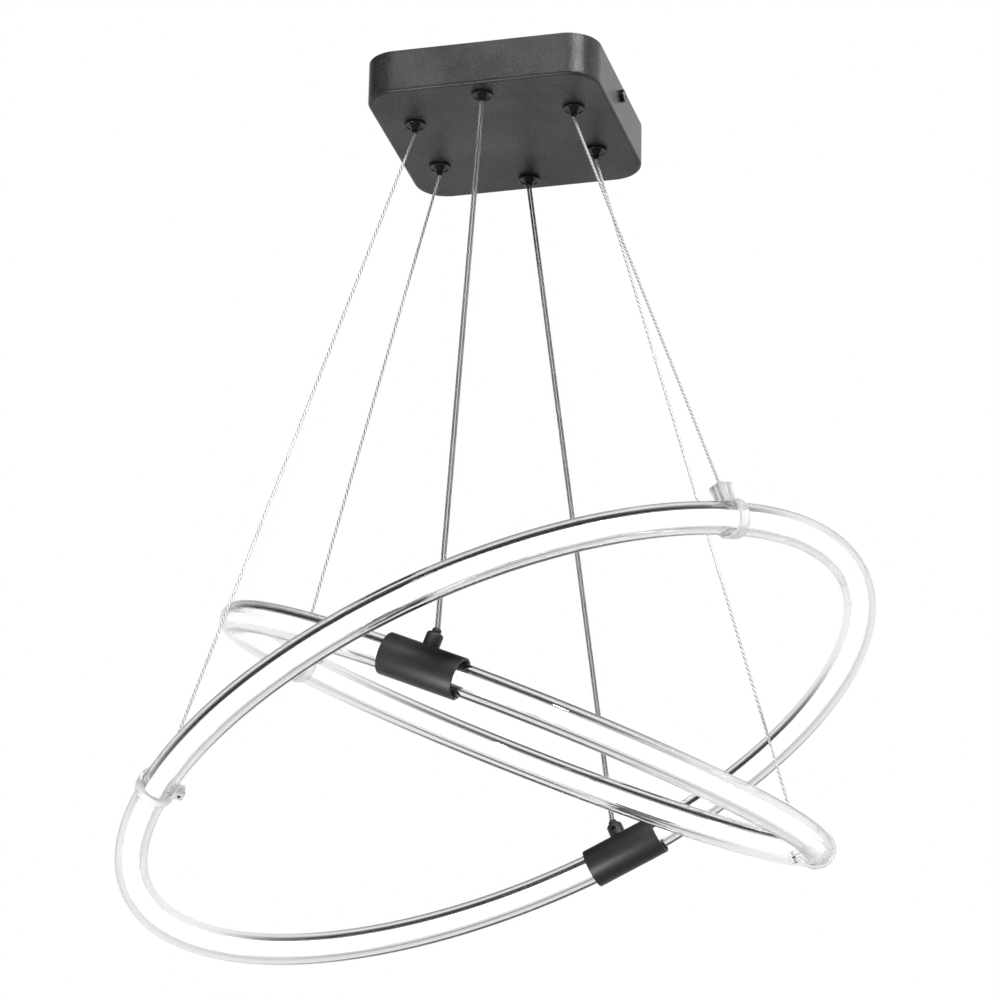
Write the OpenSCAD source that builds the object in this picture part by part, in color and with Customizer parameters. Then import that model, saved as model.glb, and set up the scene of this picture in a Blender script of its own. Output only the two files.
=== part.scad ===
// LED pendant light: two tilted clear tube rings with glowing cores, hung on
// four steel wires and two cords from a square ceiling canopy.
// Frame: origin on the ceiling plane at the canopy's centre, +Z up, -Y near side, millimetres.

/* [Canopy] */
// Side of the square canopy
canopy_side = 183; // [170:1:220]
// Height of the canopy below the ceiling
canopy_h = 35; // [32:1:50]
// Plan radius of the canopy corners
canopy_corner_r = 25.5; // [12:0.5:40]
// Sheet thickness of the canopy cover
canopy_wall = 1.2; // [0.8:0.1:2]
// Radius of the bend between side and underside
canopy_bend_r = 2.5; // [2:0.1:4]
// Radius of the circle that the six wire exits lie on
exit_circle_r = 72.75; // [68:0.25:76]

/* [Ceiling bracket] */
// Width of the bracket bar
bracket_w = 28; // [20:1:36]
// Sheet thickness of the bracket
bracket_t = 1.5; // [1:0.1:2.5]
// Distance between the two ceiling screw slots
slot_spacing = 110; // [90:1:120]
// Length of each ceiling screw slot, end to end
slot_len = 22; // [12:1:26]
// Width of each ceiling screw slot
slot_w = 5; // [4:0.1:6]
// Diameter of the cable hole in the bracket
cable_hole_d = 14; // [8:1:18]
// Depth of the side screws below the ceiling
side_screw_z = 10; // [9:0.5:13]
// Thread diameter of the side screws
side_screw_d = 4; // [3:0.5:5]
// Head diameter of the side screws
side_head_d = 10; // [7:0.5:12]
// Head length of the side screws
side_head_l = 3; // [2:0.5:4]

/* [Driver and terminals] */
// Length of the driver case
driver_l = 92; // [80:1:96]
// Width of the driver case
driver_w = 40; // [32:1:42]
// Height of the driver case
driver_h = 18; // [14:0.5:18]
// Wall of the driver case
driver_wall = 1.6; // [1.2:0.1:2]
// Thickness of the pad under the driver
pad_t = 1; // [0.5:0.1:1.4]
// Length of the terminal block
term_l = 30; // [24:1:34]
// Width of the terminal block
term_w = 15; // [12:0.5:16]
// Height of the terminal block
term_h = 13; // [10:0.5:15]

/* [Wire grips] */
// Flange diameter of each grip
flange_d = 17; // [14:0.5:20]
// Flange thickness of each grip
flange_t = 2.4; // [1.8:0.1:3]
// Outer diameter of the threaded tube
grip_thread_d = 9.6; // [9:0.1:11]
// Length of the threaded tube above the canopy underside
grip_thread_l = 15; // [13:0.5:16]
// Diameter of the plunger nose
nose_d = 5; // [4.6:0.1:5.2]
// Height of the cone under each flange
cone_h = 3.4; // [2:0.1:4]
// Diameter of the cone where it meets the flange
cone_d = 11; // [8:0.1:12]
// Width of the raised rim round each flange
rim_w = 1.4; // [1:0.1:2.5]
// Depth of the dish inside the rim
dish_t = 0.7; // [0.3:0.1:1.2]
// Length of the plunger nose below the flange
nose_l = 6.4; // [6:0.1:9]
// Length of the cord grip's nose below the flange
cord_grip_l = 4.6; // [4:0.1:8]
// Upward travel of each plunger
nose_travel = 2.5; // [1.5:0.1:3]
// Thickness of the nut inside the canopy
nut_t = 4; // [3:0.5:5]
// Width across the corners of the nut
nut_d = 15.5; // [14:0.5:17]

/* [Wires and cords] */
// Diameter of the sheathed steel wires
wire_d = 2.1; // [1:0.1:2.2]
// Diameter of the power cords
cord_d = 4; // [3:0.1:4.4]

/* [Tube rings] */
// Outer diameter of the clear tube
tube_od = 24; // [20:0.5:26]
// Bore of the clear tube
tube_id = 13.8; // [13.6:0.1:15]
// Width of the glowing core, along the ring's radius
core_w = 12.6; // [10:0.1:12.8]
// Height of the glowing core, along the ring's axis
core_h = 9; // [6:0.1:9.4]
// Corner radius of the glowing core
core_r = 3.9; // [2.5:0.1:4.2]
// Width of the LED strip in the core
strip_w = 6; // [4:0.1:7]
// Thickness of the LED strip in the core
strip_t = 1.2; // [0.8:0.1:1.6]

/* [Large ring] */
// Centreline radius of the large ring
large_r = 288; // [280:1:300]
// Sideways place of the large ring's centre
large_x = 4.5; // [0:0.5:8]
// Drop of the large ring's centre below the ceiling
large_drop = 538.8; // [500:0.1:700]
// Tilt of the large ring about X, in degrees
large_tilt_x = 0.7; // [0:0.1:2]
// Tilt of the large ring about Y, in degrees
large_tilt_y = -22.8; // [-24:0.1:-21]
// Place of the connector round the large ring, in degrees
large_conn_a = 83.8; // [82:0.1:86]

/* [Small ring] */
// Centreline radius of the small ring
small_r = 230; // [224:1:234]
// Sideways place of the small ring's centre
small_x = 23.5; // [18:0.5:26]
// Drop of the small ring's centre below the ceiling
small_drop = 533.8; // [500:0.1:700]
// Tilt of the small ring about X, in degrees
small_tilt_x = 9.3; // [8:0.1:10]
// Tilt of the small ring about Y, in degrees
small_tilt_y = 24.15; // [22:0.05:26]
// Place of the connector round the small ring, in degrees
small_conn_a = 269.8; // [268:0.1:272]

/* [Connectors] */
// Outer diameter of the connector sleeve
sleeve_od = 31; // [30.5:0.1:34]
// Bore of the connector sleeve
sleeve_id = 27; // [26.5:0.1:28]
// Length of the connector sleeve
sleeve_l = 60; // [50:1:62]
// Thickness of the joiner between the tube ends
joiner_t = 6; // [4:0.5:8]
// Length of the joiner spigots in the tube bore
spigot_l = 8; // [6:0.5:10]
// Diameter of the boss on the sleeve
boss_d = 12.4; // [10:0.1:13]
// Height of the boss top above the tube centre
boss_top = 25.2; // [24.6:0.1:27]
// Diameter of the cord nose on the boss
cord_nose_d = 6.8; // [6.6:0.1:7.5]
// Height of the cord nose tip above the tube centre
cord_nose_top = 28.2; // [27.6:0.1:31]
// Diameter of the set screw in the boss
set_screw_d = 4; // [3:0.1:4.2]
// Height of the chamfer round the boss top
boss_chamfer = 1.6; // [0.5:0.1:2.2]

/* [Wire clips] */
// Outer diameter of the clip collar
clip_od = 29.6; // [29:0.1:32]
// Width of the clip along the tube
clip_w = 9; // [6:0.5:12]
// Gap between the collar and the tube, on the radius
clip_gap = 0.15; // [0.1:0.05:0.3]
// Height of the wire block above the tube centre
block_top = 27; // [25:0.5:30]
// Width of the wire block along the tube
block_w = 13; // [9:0.5:16]
// Thickness of the wire block across
block_t = 12; // [9:0.5:14]
// Reach of the clamp ear from the tube centre
ear_reach = 20.5; // [19:0.5:23]
// Thickness of the clamp ear
ear_t = 8; // [6:0.5:10]
// Angle from the wire block to the clamp ear
ear_angle = 72; // [65:1:90]
// Diameter of the clamp screw
clamp_screw_d = 2.6; // [2:0.1:3]

/* [Hidden] */
$fn = 96;
floor_z = -canopy_h + canopy_wall;
exit_z = -canopy_h - flange_t - nose_l;
cord_exit_z = -canopy_h - flange_t - cord_grip_l;
large_c = [large_x, 0, -large_drop];
small_c = [small_x, 0.8, -small_drop];
large_tilt = [large_tilt_x, large_tilt_y];
small_tilt = [small_tilt_x, small_tilt_y];
// Clip places: angle round the ring, turn of the wire block towards the ring's centre
large_right_clip = [323, -7];
large_left_clip = [219.8, 40];
small_left_clip = [163.5, -9.4];
small_right_clip = [20.6, 60];
// Exit angles round the canopy centre
ex_ll = 210;
ex_lr = 330;
ex_sl = 150;
ex_sr = 30;
ex_sc = 270;
ex_lc = 90;
fit = 0.1;
chamber_d = nose_d + 2;
chamber_top = -canopy_h + grip_thread_l - 1.6;
lip_top = -canopy_h + 1.4;
collar_t = 2;
driver_z = floor_z + pad_t;
term_y = 44;
tab_x = canopy_side / 2 - canopy_wall - 0.4 - bracket_t;

function exit_pt(a) = [exit_circle_r * cos(a), exit_circle_r * sin(a), exit_z];
function cord_exit_pt(a) = [exit_circle_r * cos(a), exit_circle_r * sin(a), cord_exit_z];
function tilted(p, t) =
    let (q = [p[0], p[1] * cos(t[0]) - p[2] * sin(t[0]), p[1] * sin(t[0]) + p[2] * cos(t[0])])
    [q[0] * cos(t[1]) + q[2] * sin(t[1]), q[1], -q[0] * sin(t[1]) + q[2] * cos(t[1])];
// Point on a ring: angle a, height h above the tube centre, turned f towards the ring's centre
function on_ring(c, t, r, a, f, h) =
    c + tilted([(r - h * sin(f)) * cos(a), (r - h * sin(f)) * sin(a), h * cos(f)], t);
// Half the rise of the tube's curve inside a straight sleeve
function sag(r) = (r - sqrt(r * r - sleeve_l * sleeve_l / 4)) / 2;
function clip_pt(c, t, r, k) = on_ring(c, t, r, k[0], k[1], block_top - 0.6);
function nose_pt(c, t, r, a) = on_ring(c, t, r - sag(r), a, 0, cord_nose_top - 0.1);

// Straight round bar from p to q
module bar(p, q, d) {
    v = q - p;
    len = norm(v);
    translate(p)
    rotate([0, acos(v[2] / len), atan2(v[1], v[0])])
    cylinder(d = d, h = len);
}

// Round lead through a list of points, with a ball a little thicker than the lead at each corner
module lead(pts, d) {
    for (i = [0:len(pts) - 2]) {
        bar(pts[i], pts[i + 1], d);
    }
    if (len(pts) > 2) {
        for (i = [1:len(pts) - 2]) {
            translate(pts[i])
            sphere(d = d * 1.15);
        }
    }
}

// Square block with round corners, from z0 up to z1
module round_square(s, r, z0, z1) {
    translate([-s / 2 + r, -s / 2, z0])
    cube([s - 2 * r, s, z1 - z0]);
    translate([-s / 2, -s / 2 + r, z0])
    cube([s, s - 2 * r, z1 - z0]);
    for (x = [-1, 1], y = [-1, 1]) {
        translate([x * (s / 2 - r), y * (s / 2 - r), z0])
        cylinder(r = r, h = z1 - z0);
    }
}

module in_large() {
    translate(large_c)
    rotate([large_tilt[0], large_tilt[1], 0])
    children();
}

module in_small() {
    translate(small_c)
    rotate([small_tilt[0], small_tilt[1], 0])
    children();
}

// Local frame on a ring: X outwards, Y along the tube, Z along the ring's axis
module at_ring(r, a) {
    rotate([0, 0, a])
    translate([r, 0, 0])
    children();
}

// Canopy and what it holds

module canopy_bend() {
    b = canopy_bend_r;
    r = canopy_corner_r;
    c = canopy_side / 2 - r;
    z = -canopy_h + b;
    for (k = [0:3]) {
        rotate([0, 0, 90 * k]) {
            translate([c, c, z])
            rotate_extrude(angle = 90)
            translate([r - b, 0])
            intersection() {
                circle(r = b);
                translate([0, -b])
                square([b, b]);
            }
            translate([c + r - b, -c, z])
            rotate([-90, 0, 0])
            intersection() {
                cylinder(r = b, h = 2 * c);
                cube([b, b, 2 * c]);
            }
        }
    }
}

module canopy_cover() {
    color([0.16, 0.16, 0.17])
    difference() {
        union() {
            round_square(canopy_side, canopy_corner_r, -canopy_h + canopy_bend_r, 0);
            round_square(canopy_side - 2 * canopy_bend_r, canopy_corner_r - canopy_bend_r,
                -canopy_h, -canopy_h + canopy_bend_r);
            canopy_bend();
        }
        round_square(canopy_side - 2 * canopy_wall, canopy_corner_r - canopy_wall,
            -canopy_h + canopy_bend_r, 1);
        round_square(canopy_side - 2 * canopy_bend_r, canopy_corner_r - canopy_bend_r,
            floor_z, -canopy_h + canopy_bend_r + 0.5);
        for (a = [30:60:330]) {
            translate([exit_circle_r * cos(a), exit_circle_r * sin(a), -canopy_h - 1])
            cylinder(d = grip_thread_d + 2 * fit, h = canopy_wall + 2);
        }
        for (s = [-1, 1]) {
            translate([s * (canopy_side / 2 - canopy_wall - 1), 0, -side_screw_z])
            rotate([0, 90 * s, 0])
            cylinder(d = side_screw_d + 0.4, h = canopy_wall + 2);
        }
    }
}

module ceiling_bracket() {
    color([0.72, 0.73, 0.75])
    difference() {
        union() {
            translate([-tab_x - bracket_t, -bracket_w / 2, -bracket_t])
            cube([2 * (tab_x + bracket_t), bracket_w, bracket_t]);
            for (s = [-1, 1]) {
                translate([s * (tab_x + bracket_t / 2) - bracket_t / 2, -bracket_w / 2, -side_screw_z - 8])
                cube([bracket_t, bracket_w, side_screw_z + 8]);
            }
        }
        for (s = [-1, 1]) {
            translate([s * slot_spacing / 2 - (slot_len - slot_w) / 2, -slot_w / 2, -bracket_t - 1])
            cube([slot_len - slot_w, slot_w, bracket_t + 2]);
            for (e = [-1, 1]) {
                translate([s * slot_spacing / 2 + e * (slot_len - slot_w) / 2, 0, -bracket_t - 1])
                cylinder(d = slot_w, h = bracket_t + 2);
            }
            translate([s * (tab_x - 1), 0, -side_screw_z])
            rotate([0, 90 * s, 0])
            cylinder(d = side_screw_d + 0.04, h = bracket_t + 2);
        }
        translate([0, 0, -bracket_t - 1])
        cylinder(d = cable_hole_d, h = bracket_t + 2);
        translate([28, 7, -bracket_t - 1])
        cylinder(d = 3.54, h = bracket_t + 2);
    }
}

module side_screws() {
    color([0.05, 0.05, 0.05])
    for (s = [-1, 1]) {
        translate([s * canopy_side / 2, 0, -side_screw_z])
        rotate([0, 90 * s, 0]) {
            difference() {
                union() {
                    translate([0, 0, 0.5])
                    cylinder(d = side_head_d, h = side_head_l - 1.1);
                    cylinder(d1 = side_head_d - 1, d2 = side_head_d, h = 0.5);
                    translate([0, 0, side_head_l - 0.6])
                    cylinder(d1 = side_head_d, d2 = side_head_d - 1.2, h = 0.6);
                }
                translate([-side_head_d / 2 - 1, -0.5, side_head_l - 0.8])
                cube([side_head_d + 2, 1, 2]);
            }
            translate([0, 0, -8])
            cylinder(d = side_screw_d, h = 8.2);
        }
    }
}

module earth_screw() {
    color([0.75, 0.66, 0.35])
    translate([28, 7, 0]) {
        translate([0, 0, -bracket_t - 2.6])
        cylinder(d = 7, h = 2);
        translate([0, 0, -bracket_t - 0.6])
        cylinder(d = 3.5, h = bracket_t + 0.6);
    }
}

module driver_pad() {
    color([0.2, 0.2, 0.2])
    translate([-driver_l / 2 + 4, -driver_w / 2 + 4, floor_z])
    cube([driver_l - 8, driver_w - 8, pad_t]);
}

module driver_case() {
    color([0.92, 0.92, 0.9])
    difference() {
        translate([-driver_l / 2, -driver_w / 2, driver_z])
        cube([driver_l, driver_w, driver_h - driver_wall]);
        translate([-driver_l / 2 + driver_wall, -driver_w / 2 + driver_wall, driver_z + driver_wall])
        cube([driver_l - 2 * driver_wall, driver_w - 2 * driver_wall, driver_h]);
        for (x = [-30, 30]) {
            translate([x, x < 0 ? driver_w / 2 + 1 : -driver_w / 2 + driver_wall + 1, driver_z + 8])
            rotate([90, 0, 0])
            cylinder(d = cord_d + 0.2, h = driver_wall + 2);
        }
        translate([0, driver_w / 2 + 1, driver_z + 8])
        rotate([90, 0, 0])
        cylinder(d = 5.2, h = driver_wall + 2);
    }
}

module driver_lid() {
    color([0.9, 0.9, 0.88])
    union() {
        translate([-driver_l / 2, -driver_w / 2, driver_z + driver_h - driver_wall])
        cube([driver_l, driver_w, driver_wall]);
        difference() {
            translate([-driver_l / 2 + driver_wall + 0.15, -driver_w / 2 + driver_wall + 0.15,
                driver_z + driver_h - driver_wall - 1.5])
            cube([driver_l - 2 * driver_wall - 0.3, driver_w - 2 * driver_wall - 0.3, 1.6]);
            translate([-driver_l / 2 + driver_wall + 1.4, -driver_w / 2 + driver_wall + 1.4,
                driver_z + driver_h - driver_wall - 2.5])
            cube([driver_l - 2 * driver_wall - 2.8, driver_w - 2 * driver_wall - 2.8, 2.5]);
        }
    }
}

module driver_board() {
    color([0.1, 0.4, 0.2])
    union() {
        translate([-driver_l / 2 + driver_wall + 0.2, -driver_w / 2 + driver_wall + 0.2, driver_z + driver_wall])
        cube([driver_l - 2 * driver_wall - 0.4, driver_w - 2 * driver_wall - 0.4, 1.6]);
        translate([-12, -9, driver_z + driver_wall + 1.6])
        cube([16, 16, 10]);
        for (x = [-32, 24]) {
            translate([x, -8, driver_z + driver_wall + 1.6])
            cylinder(d = 8, h = 9.5);
        }
    }
}

module terminal_block() {
    color([0.9, 0.9, 0.88])
    difference() {
        translate([-term_l / 2, term_y - term_w / 2, floor_z])
        cube([term_l, term_w, term_h]);
        for (k = [-1:1]) {
            translate([k * term_l / 3.3, term_y + term_w / 2 + 1, floor_z + term_h * 0.4])
            rotate([90, 0, 0])
            cylinder(d = 3.4, h = term_w + 2);
            translate([k * term_l / 3.3, term_y, floor_z + term_h * 0.4])
            cylinder(d = 3.6, h = term_h);
        }
    }
}

module terminal_screws() {
    color([0.78, 0.78, 0.76])
    for (k = [-1:1]) {
        translate([k * term_l / 3.3, term_y, floor_z + term_h * 0.4 + 1.9])
        difference() {
            cylinder(d = 3.56, h = term_h * 0.6 - 3);
            translate([-3, -0.35, term_h * 0.6 - 3.9])
            cube([6, 0.7, 2]);
        }
    }
}

module mains_lead() {
    y1 = term_y - term_w / 2 + 4;
    y0 = driver_w / 2 - driver_wall - 3;
    color([0.85, 0.85, 0.85])
    union() {
        bar([0, y0, driver_z + 8], [0, y1 - 8, driver_z + 8], 5);
        for (k = [-1, 0]) {
            lead([[0, y1 - 9, driver_z + 8], [k * term_l / 3.3, y1 - 4.2, floor_z + term_h * 0.4],
                [k * term_l / 3.3, y1, floor_z + term_h * 0.4]], 2);
        }
    }
}

module earth_lead() {
    x = term_l / 3.3;
    y = term_y - term_w / 2;
    color([0.35, 0.6, 0.2])
    union() {
        lead([[x, y + 4, floor_z + term_h * 0.4], [x, y - 4, floor_z + term_h * 0.4],
            [x + 9, y - 8, floor_z + term_h + 4], [28, 19, -bracket_t - 1.5], [28, 11.5, -bracket_t - 1.2]], 2);
        difference() {
            union() {
                translate([28, 7, -bracket_t - 0.6])
                cylinder(d = 8, h = 0.6);
                translate([26.5, 7, -bracket_t - 0.6])
                cube([3, 6, 0.6]);
            }
            translate([28, 7, -bracket_t - 1])
            cylinder(d = 3.6, h = 2);
        }
    }
}

// Threaded grip body with a dished flange and a cone of height h and tip diameter d under it
module grip_shape(h, d) {
    difference() {
        translate([0, 0, -canopy_h - flange_t])
        cylinder(d = flange_d, h = flange_t);
        translate([0, 0, -canopy_h - flange_t - 1])
        cylinder(d = flange_d - 2 * rim_w, h = 1 + dish_t);
    }
    translate([0, 0, -canopy_h - 0.2])
    cylinder(d = grip_thread_d, h = grip_thread_l + 0.2);
    translate([0, 0, -canopy_h - flange_t - h])
    cylinder(d1 = d, d2 = cone_d, h = h + dish_t + 0.2);
}

module wire_grip_bodies() {
    color([0.04, 0.04, 0.04])
    for (a = [ex_ll, ex_lr, ex_sl, ex_sr]) {
        translate([exit_circle_r * cos(a), exit_circle_r * sin(a), 0])
        difference() {
            grip_shape(cone_h, nose_d + 1.6);
            translate([0, 0, exit_z - 1])
            cylinder(d = nose_d + 2 * 0.08, h = lip_top - exit_z + 2);
            translate([0, 0, lip_top])
            cylinder(d = chamber_d, h = chamber_top - lip_top);
            translate([0, 0, chamber_top - 1])
            cylinder(d = wire_d + 0.3, h = grip_thread_l);
        }
    }
}

module cord_grip_bodies() {
    color([0.04, 0.04, 0.04])
    for (a = [ex_sc, ex_lc]) {
        translate([exit_circle_r * cos(a), exit_circle_r * sin(a), 0])
        difference() {
            grip_shape(cord_grip_l, cord_d + 2.4);
            translate([0, 0, cord_exit_z - 1])
            cylinder(d = cord_d + 0.1, h = cord_grip_l + flange_t + grip_thread_l + 4);
            translate([0, 0, cord_exit_z - 0.01])
            cylinder(d1 = cord_d + 1.2, d2 = cord_d, h = 2.4);
        }
    }
}

module grip_nuts() {
    color([0.78, 0.78, 0.76])
    for (a = [30:60:330]) {
        translate([exit_circle_r * cos(a), exit_circle_r * sin(a), floor_z])
        difference() {
            cylinder(d = nut_d, h = nut_t, $fn = 6);
            translate([0, 0, -1])
            cylinder(d = grip_thread_d + 0.06, h = nut_t + 2);
        }
    }
}

// One sprung plunger, the release nose of a wire grip
module plunger_at(a) {
    color([0.05, 0.05, 0.05])
    translate([exit_circle_r * cos(a), exit_circle_r * sin(a), 0])
    difference() {
        union() {
            translate([0, 0, exit_z + 2])
            cylinder(d = nose_d, h = lip_top - exit_z - 2);
            translate([0, 0, exit_z])
            cylinder(d1 = nose_d - 1.6, d2 = nose_d, h = 2);
            translate([0, 0, lip_top])
            cylinder(d = chamber_d - 0.3, h = collar_t);
        }
        translate([0, 0, exit_z - 1])
        cylinder(d = wire_d + 0.3, h = nose_l + flange_t + grip_thread_l + 2);
    }
}

// Coil spring over a plunger, in half turns that each rise by half a pitch
module spring_at(a) {
    z0 = lip_top + collar_t + 0.02;
    z1 = chamber_top - 0.02;
    turns = 5;
    w = 0.7;
    r = chamber_d / 2 - 0.3 - w / 2;
    pitch = (z1 - z0 - w) / turns;
    tilt = atan(pitch / 4 / r);
    color([0.7, 0.71, 0.73])
    translate([exit_circle_r * cos(a), exit_circle_r * sin(a), z0 + w / 2]) {
        for (k = [0:turns - 1]) {
            translate([0, 0, (k + 0.25) * pitch])
            rotate([0, tilt, 0])
            rotate_extrude(angle = 180)
            translate([r / cos(tilt), 0])
            circle(d = w);
            translate([0, 0, (k + 0.75) * pitch])
            rotate([0, -tilt, 0])
            rotate([0, 0, 180])
            rotate_extrude(angle = 180)
            translate([r / cos(tilt), 0])
            circle(d = w);
        }
    }
}

module plunger_large_left() {
    plunger_at(ex_ll);
}
module plunger_large_right() {
    plunger_at(ex_lr);
}
module plunger_small_left() {
    plunger_at(ex_sl);
}
module plunger_small_right() {
    plunger_at(ex_sr);
}
module spring_large_left() {
    spring_at(ex_ll);
}
module spring_large_right() {
    spring_at(ex_lr);
}
module spring_small_left() {
    spring_at(ex_sl);
}
module spring_small_right() {
    spring_at(ex_sr);
}

// Spare wire ends, from the nose tips up into the canopy
module wire_tails() {
    top = -canopy_h + grip_thread_l;
    color([0.75, 0.76, 0.78])
    for (k = [[ex_ll, 250], [ex_lr, 290], [ex_sl, 110], [ex_sr, 70]]) {
        p = exit_pt(k[0]);
        lead([p + [0, 0, 0.6], [p[0], p[1], top + 5], [p[0] + 8 * cos(k[1]), p[1] + 8 * sin(k[1]), top + 10],
            [p[0] + 26 * cos(k[1]), p[1] + 26 * sin(k[1]), top + 10]], wire_d);
    }
}

module small_output_lead() {
    top = -canopy_h + grip_thread_l + 4;
    color([0.8, 0.8, 0.82])
    lead([cord_exit_pt(ex_sc) + [0, 0, 1], [0, -exit_circle_r, top], [30, -driver_w / 2 - 10, driver_z + 8],
        [30, -driver_w / 2 + driver_wall + 4, driver_z + 8]], cord_d);
}

module large_output_lead() {
    low = driver_z + 8;
    top = 2 * (floor_z + term_h + cord_d / 2 + 1) - low;
    color([0.8, 0.8, 0.82])
    lead([cord_exit_pt(ex_lc) + [0, 0, 1], [0, exit_circle_r, top], [-30, driver_w / 2 + 10, low],
        [-30, driver_w / 2 - driver_wall - 4, low]], cord_d);
}

// Suspension wires and power cords

module wire_large_left() {
    color([0.78, 0.79, 0.8])
    bar(exit_pt(ex_ll), clip_pt(large_c, large_tilt, large_r, large_left_clip), wire_d);
}

module wire_large_right() {
    color([0.78, 0.79, 0.8])
    bar(exit_pt(ex_lr), clip_pt(large_c, large_tilt, large_r, large_right_clip), wire_d);
}

module wire_small_left() {
    color([0.78, 0.79, 0.8])
    bar(exit_pt(ex_sl), clip_pt(small_c, small_tilt, small_r, small_left_clip), wire_d);
}

module wire_small_right() {
    color([0.78, 0.79, 0.8])
    bar(exit_pt(ex_sr), clip_pt(small_c, small_tilt, small_r, small_right_clip), wire_d);
}

module cord_large() {
    color([0.6, 0.6, 0.62])
    bar(cord_exit_pt(ex_lc), nose_pt(large_c, large_tilt, large_r, large_conn_a), cord_d);
}

module cord_small() {
    color([0.6, 0.6, 0.62])
    bar(cord_exit_pt(ex_sc), nose_pt(small_c, small_tilt, small_r, small_conn_a), cord_d);
}

// Ring pieces, in the ring's own plane

module tube_ring(r, a) {
    g = (joiner_t / 2 + 0.02) / r * 180 / PI;
    rotate([0, 0, a + g])
    rotate_extrude(angle = 360 - 2 * g)
    translate([r, 0])
    difference() {
        circle(d = tube_od);
        circle(d = tube_id);
    }
}

module core_section() {
    square([core_w - 2 * core_r, core_h], center = true);
    square([core_w, core_h - 2 * core_r], center = true);
    for (x = [-1, 1], y = [-1, 1]) {
        translate([x * (core_w / 2 - core_r), y * (core_h / 2 - core_r)])
        circle(r = core_r);
    }
}

module core_ring(r, a) {
    g = (joiner_t / 2 + spigot_l + 0.05) / r * 180 / PI;
    far = r + tube_od;
    difference() {
        rotate_extrude()
        translate([r, 0])
        difference() {
            core_section();
            square([strip_w + 0.3, strip_t + 0.3], center = true);
        }
        rotate([0, 0, a])
        linear_extrude(tube_od, center = true)
        polygon([[0, 0], [far, -far * tan(g)], [far, far * tan(g)]]);
    }
}

module strip_ring(r, a) {
    g = (joiner_t / 2 + spigot_l + 0.3) / r * 180 / PI;
    rotate([0, 0, a + g])
    rotate_extrude(angle = 360 - 2 * g)
    translate([r, 0])
    square([strip_w, strip_t], center = true);
}

// Joiner between the two tube ends: a disc and two curved spigots
module joiner(r, a) {
    g = (joiner_t / 2 + spigot_l) / r * 180 / PI;
    difference() {
        union() {
            rotate([0, 0, a - g])
            rotate_extrude(angle = 2 * g)
            translate([r, 0])
            circle(d = tube_id - 0.3);
            at_ring(r, a)
            translate([-sag(r), 0, 0])
            rotate([90, 0, 0])
            cylinder(d = sleeve_id - 0.1, h = joiner_t - 0.4, center = true);
        }
        at_ring(r, a)
        translate([-sag(r), 0, 0]) {
            cylinder(d = 6.04, h = sleeve_id);
            cylinder(d = 4, h = 2 * sleeve_id, center = true);
        }
        rotate([0, 0, a - g - 0.1])
        rotate_extrude(angle = 2 * g + 0.2)
        translate([r, 0])
        circle(d = 4.6);
    }
}

module sleeve(r, a) {
    at_ring(r, a)
    translate([-sag(r), 0, 0])
    difference() {
        rotate([90, 0, 0])
        cylinder(d = sleeve_od, h = sleeve_l, center = true);
        rotate([90, 0, 0])
        cylinder(d = sleeve_id, h = sleeve_l + 2, center = true);
        cylinder(d = 6.04, h = 30);
    }
}

// Hollow boss: its stud goes through the sleeve into the joiner
module boss(r, a) {
    at_ring(r, a)
    translate([-sag(r), 0, 0])
    difference() {
        union() {
            translate([0, 0, 8])
            cylinder(d = 6, h = sleeve_od / 2 - 7.5);
            difference() {
                union() {
                    translate([0, 0, sleeve_od / 2 - 2])
                    cylinder(d = boss_d, h = boss_top - boss_chamfer - sleeve_od / 2 + 2);
                    translate([0, 0, boss_top - boss_chamfer])
                    cylinder(d1 = boss_d, d2 = boss_d - 1.8 * boss_chamfer, h = boss_chamfer);
                }
                rotate([90, 0, 0])
                cylinder(d = sleeve_od + 0.04, h = sleeve_l, center = true);
            }
        }
        translate([0, 0, 7])
        cylinder(d = cord_d + 0.2, h = 30);
        translate([0, 0, boss_top - 3])
        cylinder(d = cord_nose_d - 1, h = 10);
        translate([0, 0, (sleeve_od / 2 + boss_top) / 2 - 0.5])
        rotate([0, -90, 0])
        cylinder(d = set_screw_d + 0.04, h = boss_d);
    }
}

module set_screw(r, a) {
    at_ring(r, a)
    translate([-sag(r), 0, (sleeve_od / 2 + boss_top) / 2 - 0.5])
    rotate([0, -90, 0])
    difference() {
        translate([0, 0, cord_d / 2 + 0.15])
        cylinder(d = set_screw_d, h = boss_d / 2 - cord_d / 2 - 0.3);
        translate([0, 0, boss_d / 2 - 1.2])
        cylinder(d = set_screw_d * 0.55, h = 3, $fn = 6);
    }
}

// Strain relief nose on the boss
module cord_nose(r, a) {
    at_ring(r, a)
    translate([-sag(r), 0, 0])
    difference() {
        union() {
            translate([0, 0, boss_top - 2.9])
            cylinder(d = cord_nose_d - 1.06, h = 3);
            translate([0, 0, boss_top])
            cylinder(d = cord_nose_d, h = cord_nose_top - boss_top);
        }
        translate([0, 0, boss_top - 4])
        cylinder(d = cord_d + 0.2, h = 20);
        translate([0, 0, cord_nose_top - 2.4])
        cylinder(d1 = cord_d, d2 = cord_d + 1.6, h = 2.41);
    }
}

// Cord end inside the connector, from the nose down and along to the core
module pigtail(r, a) {
    s = sag(r);
    at_ring(r, a)
    lead([[-s, 0, cord_nose_top - 2], [-s, 0, 0], [0, -joiner_t / 2 - spigot_l, 0]], 2.4);
}

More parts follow.
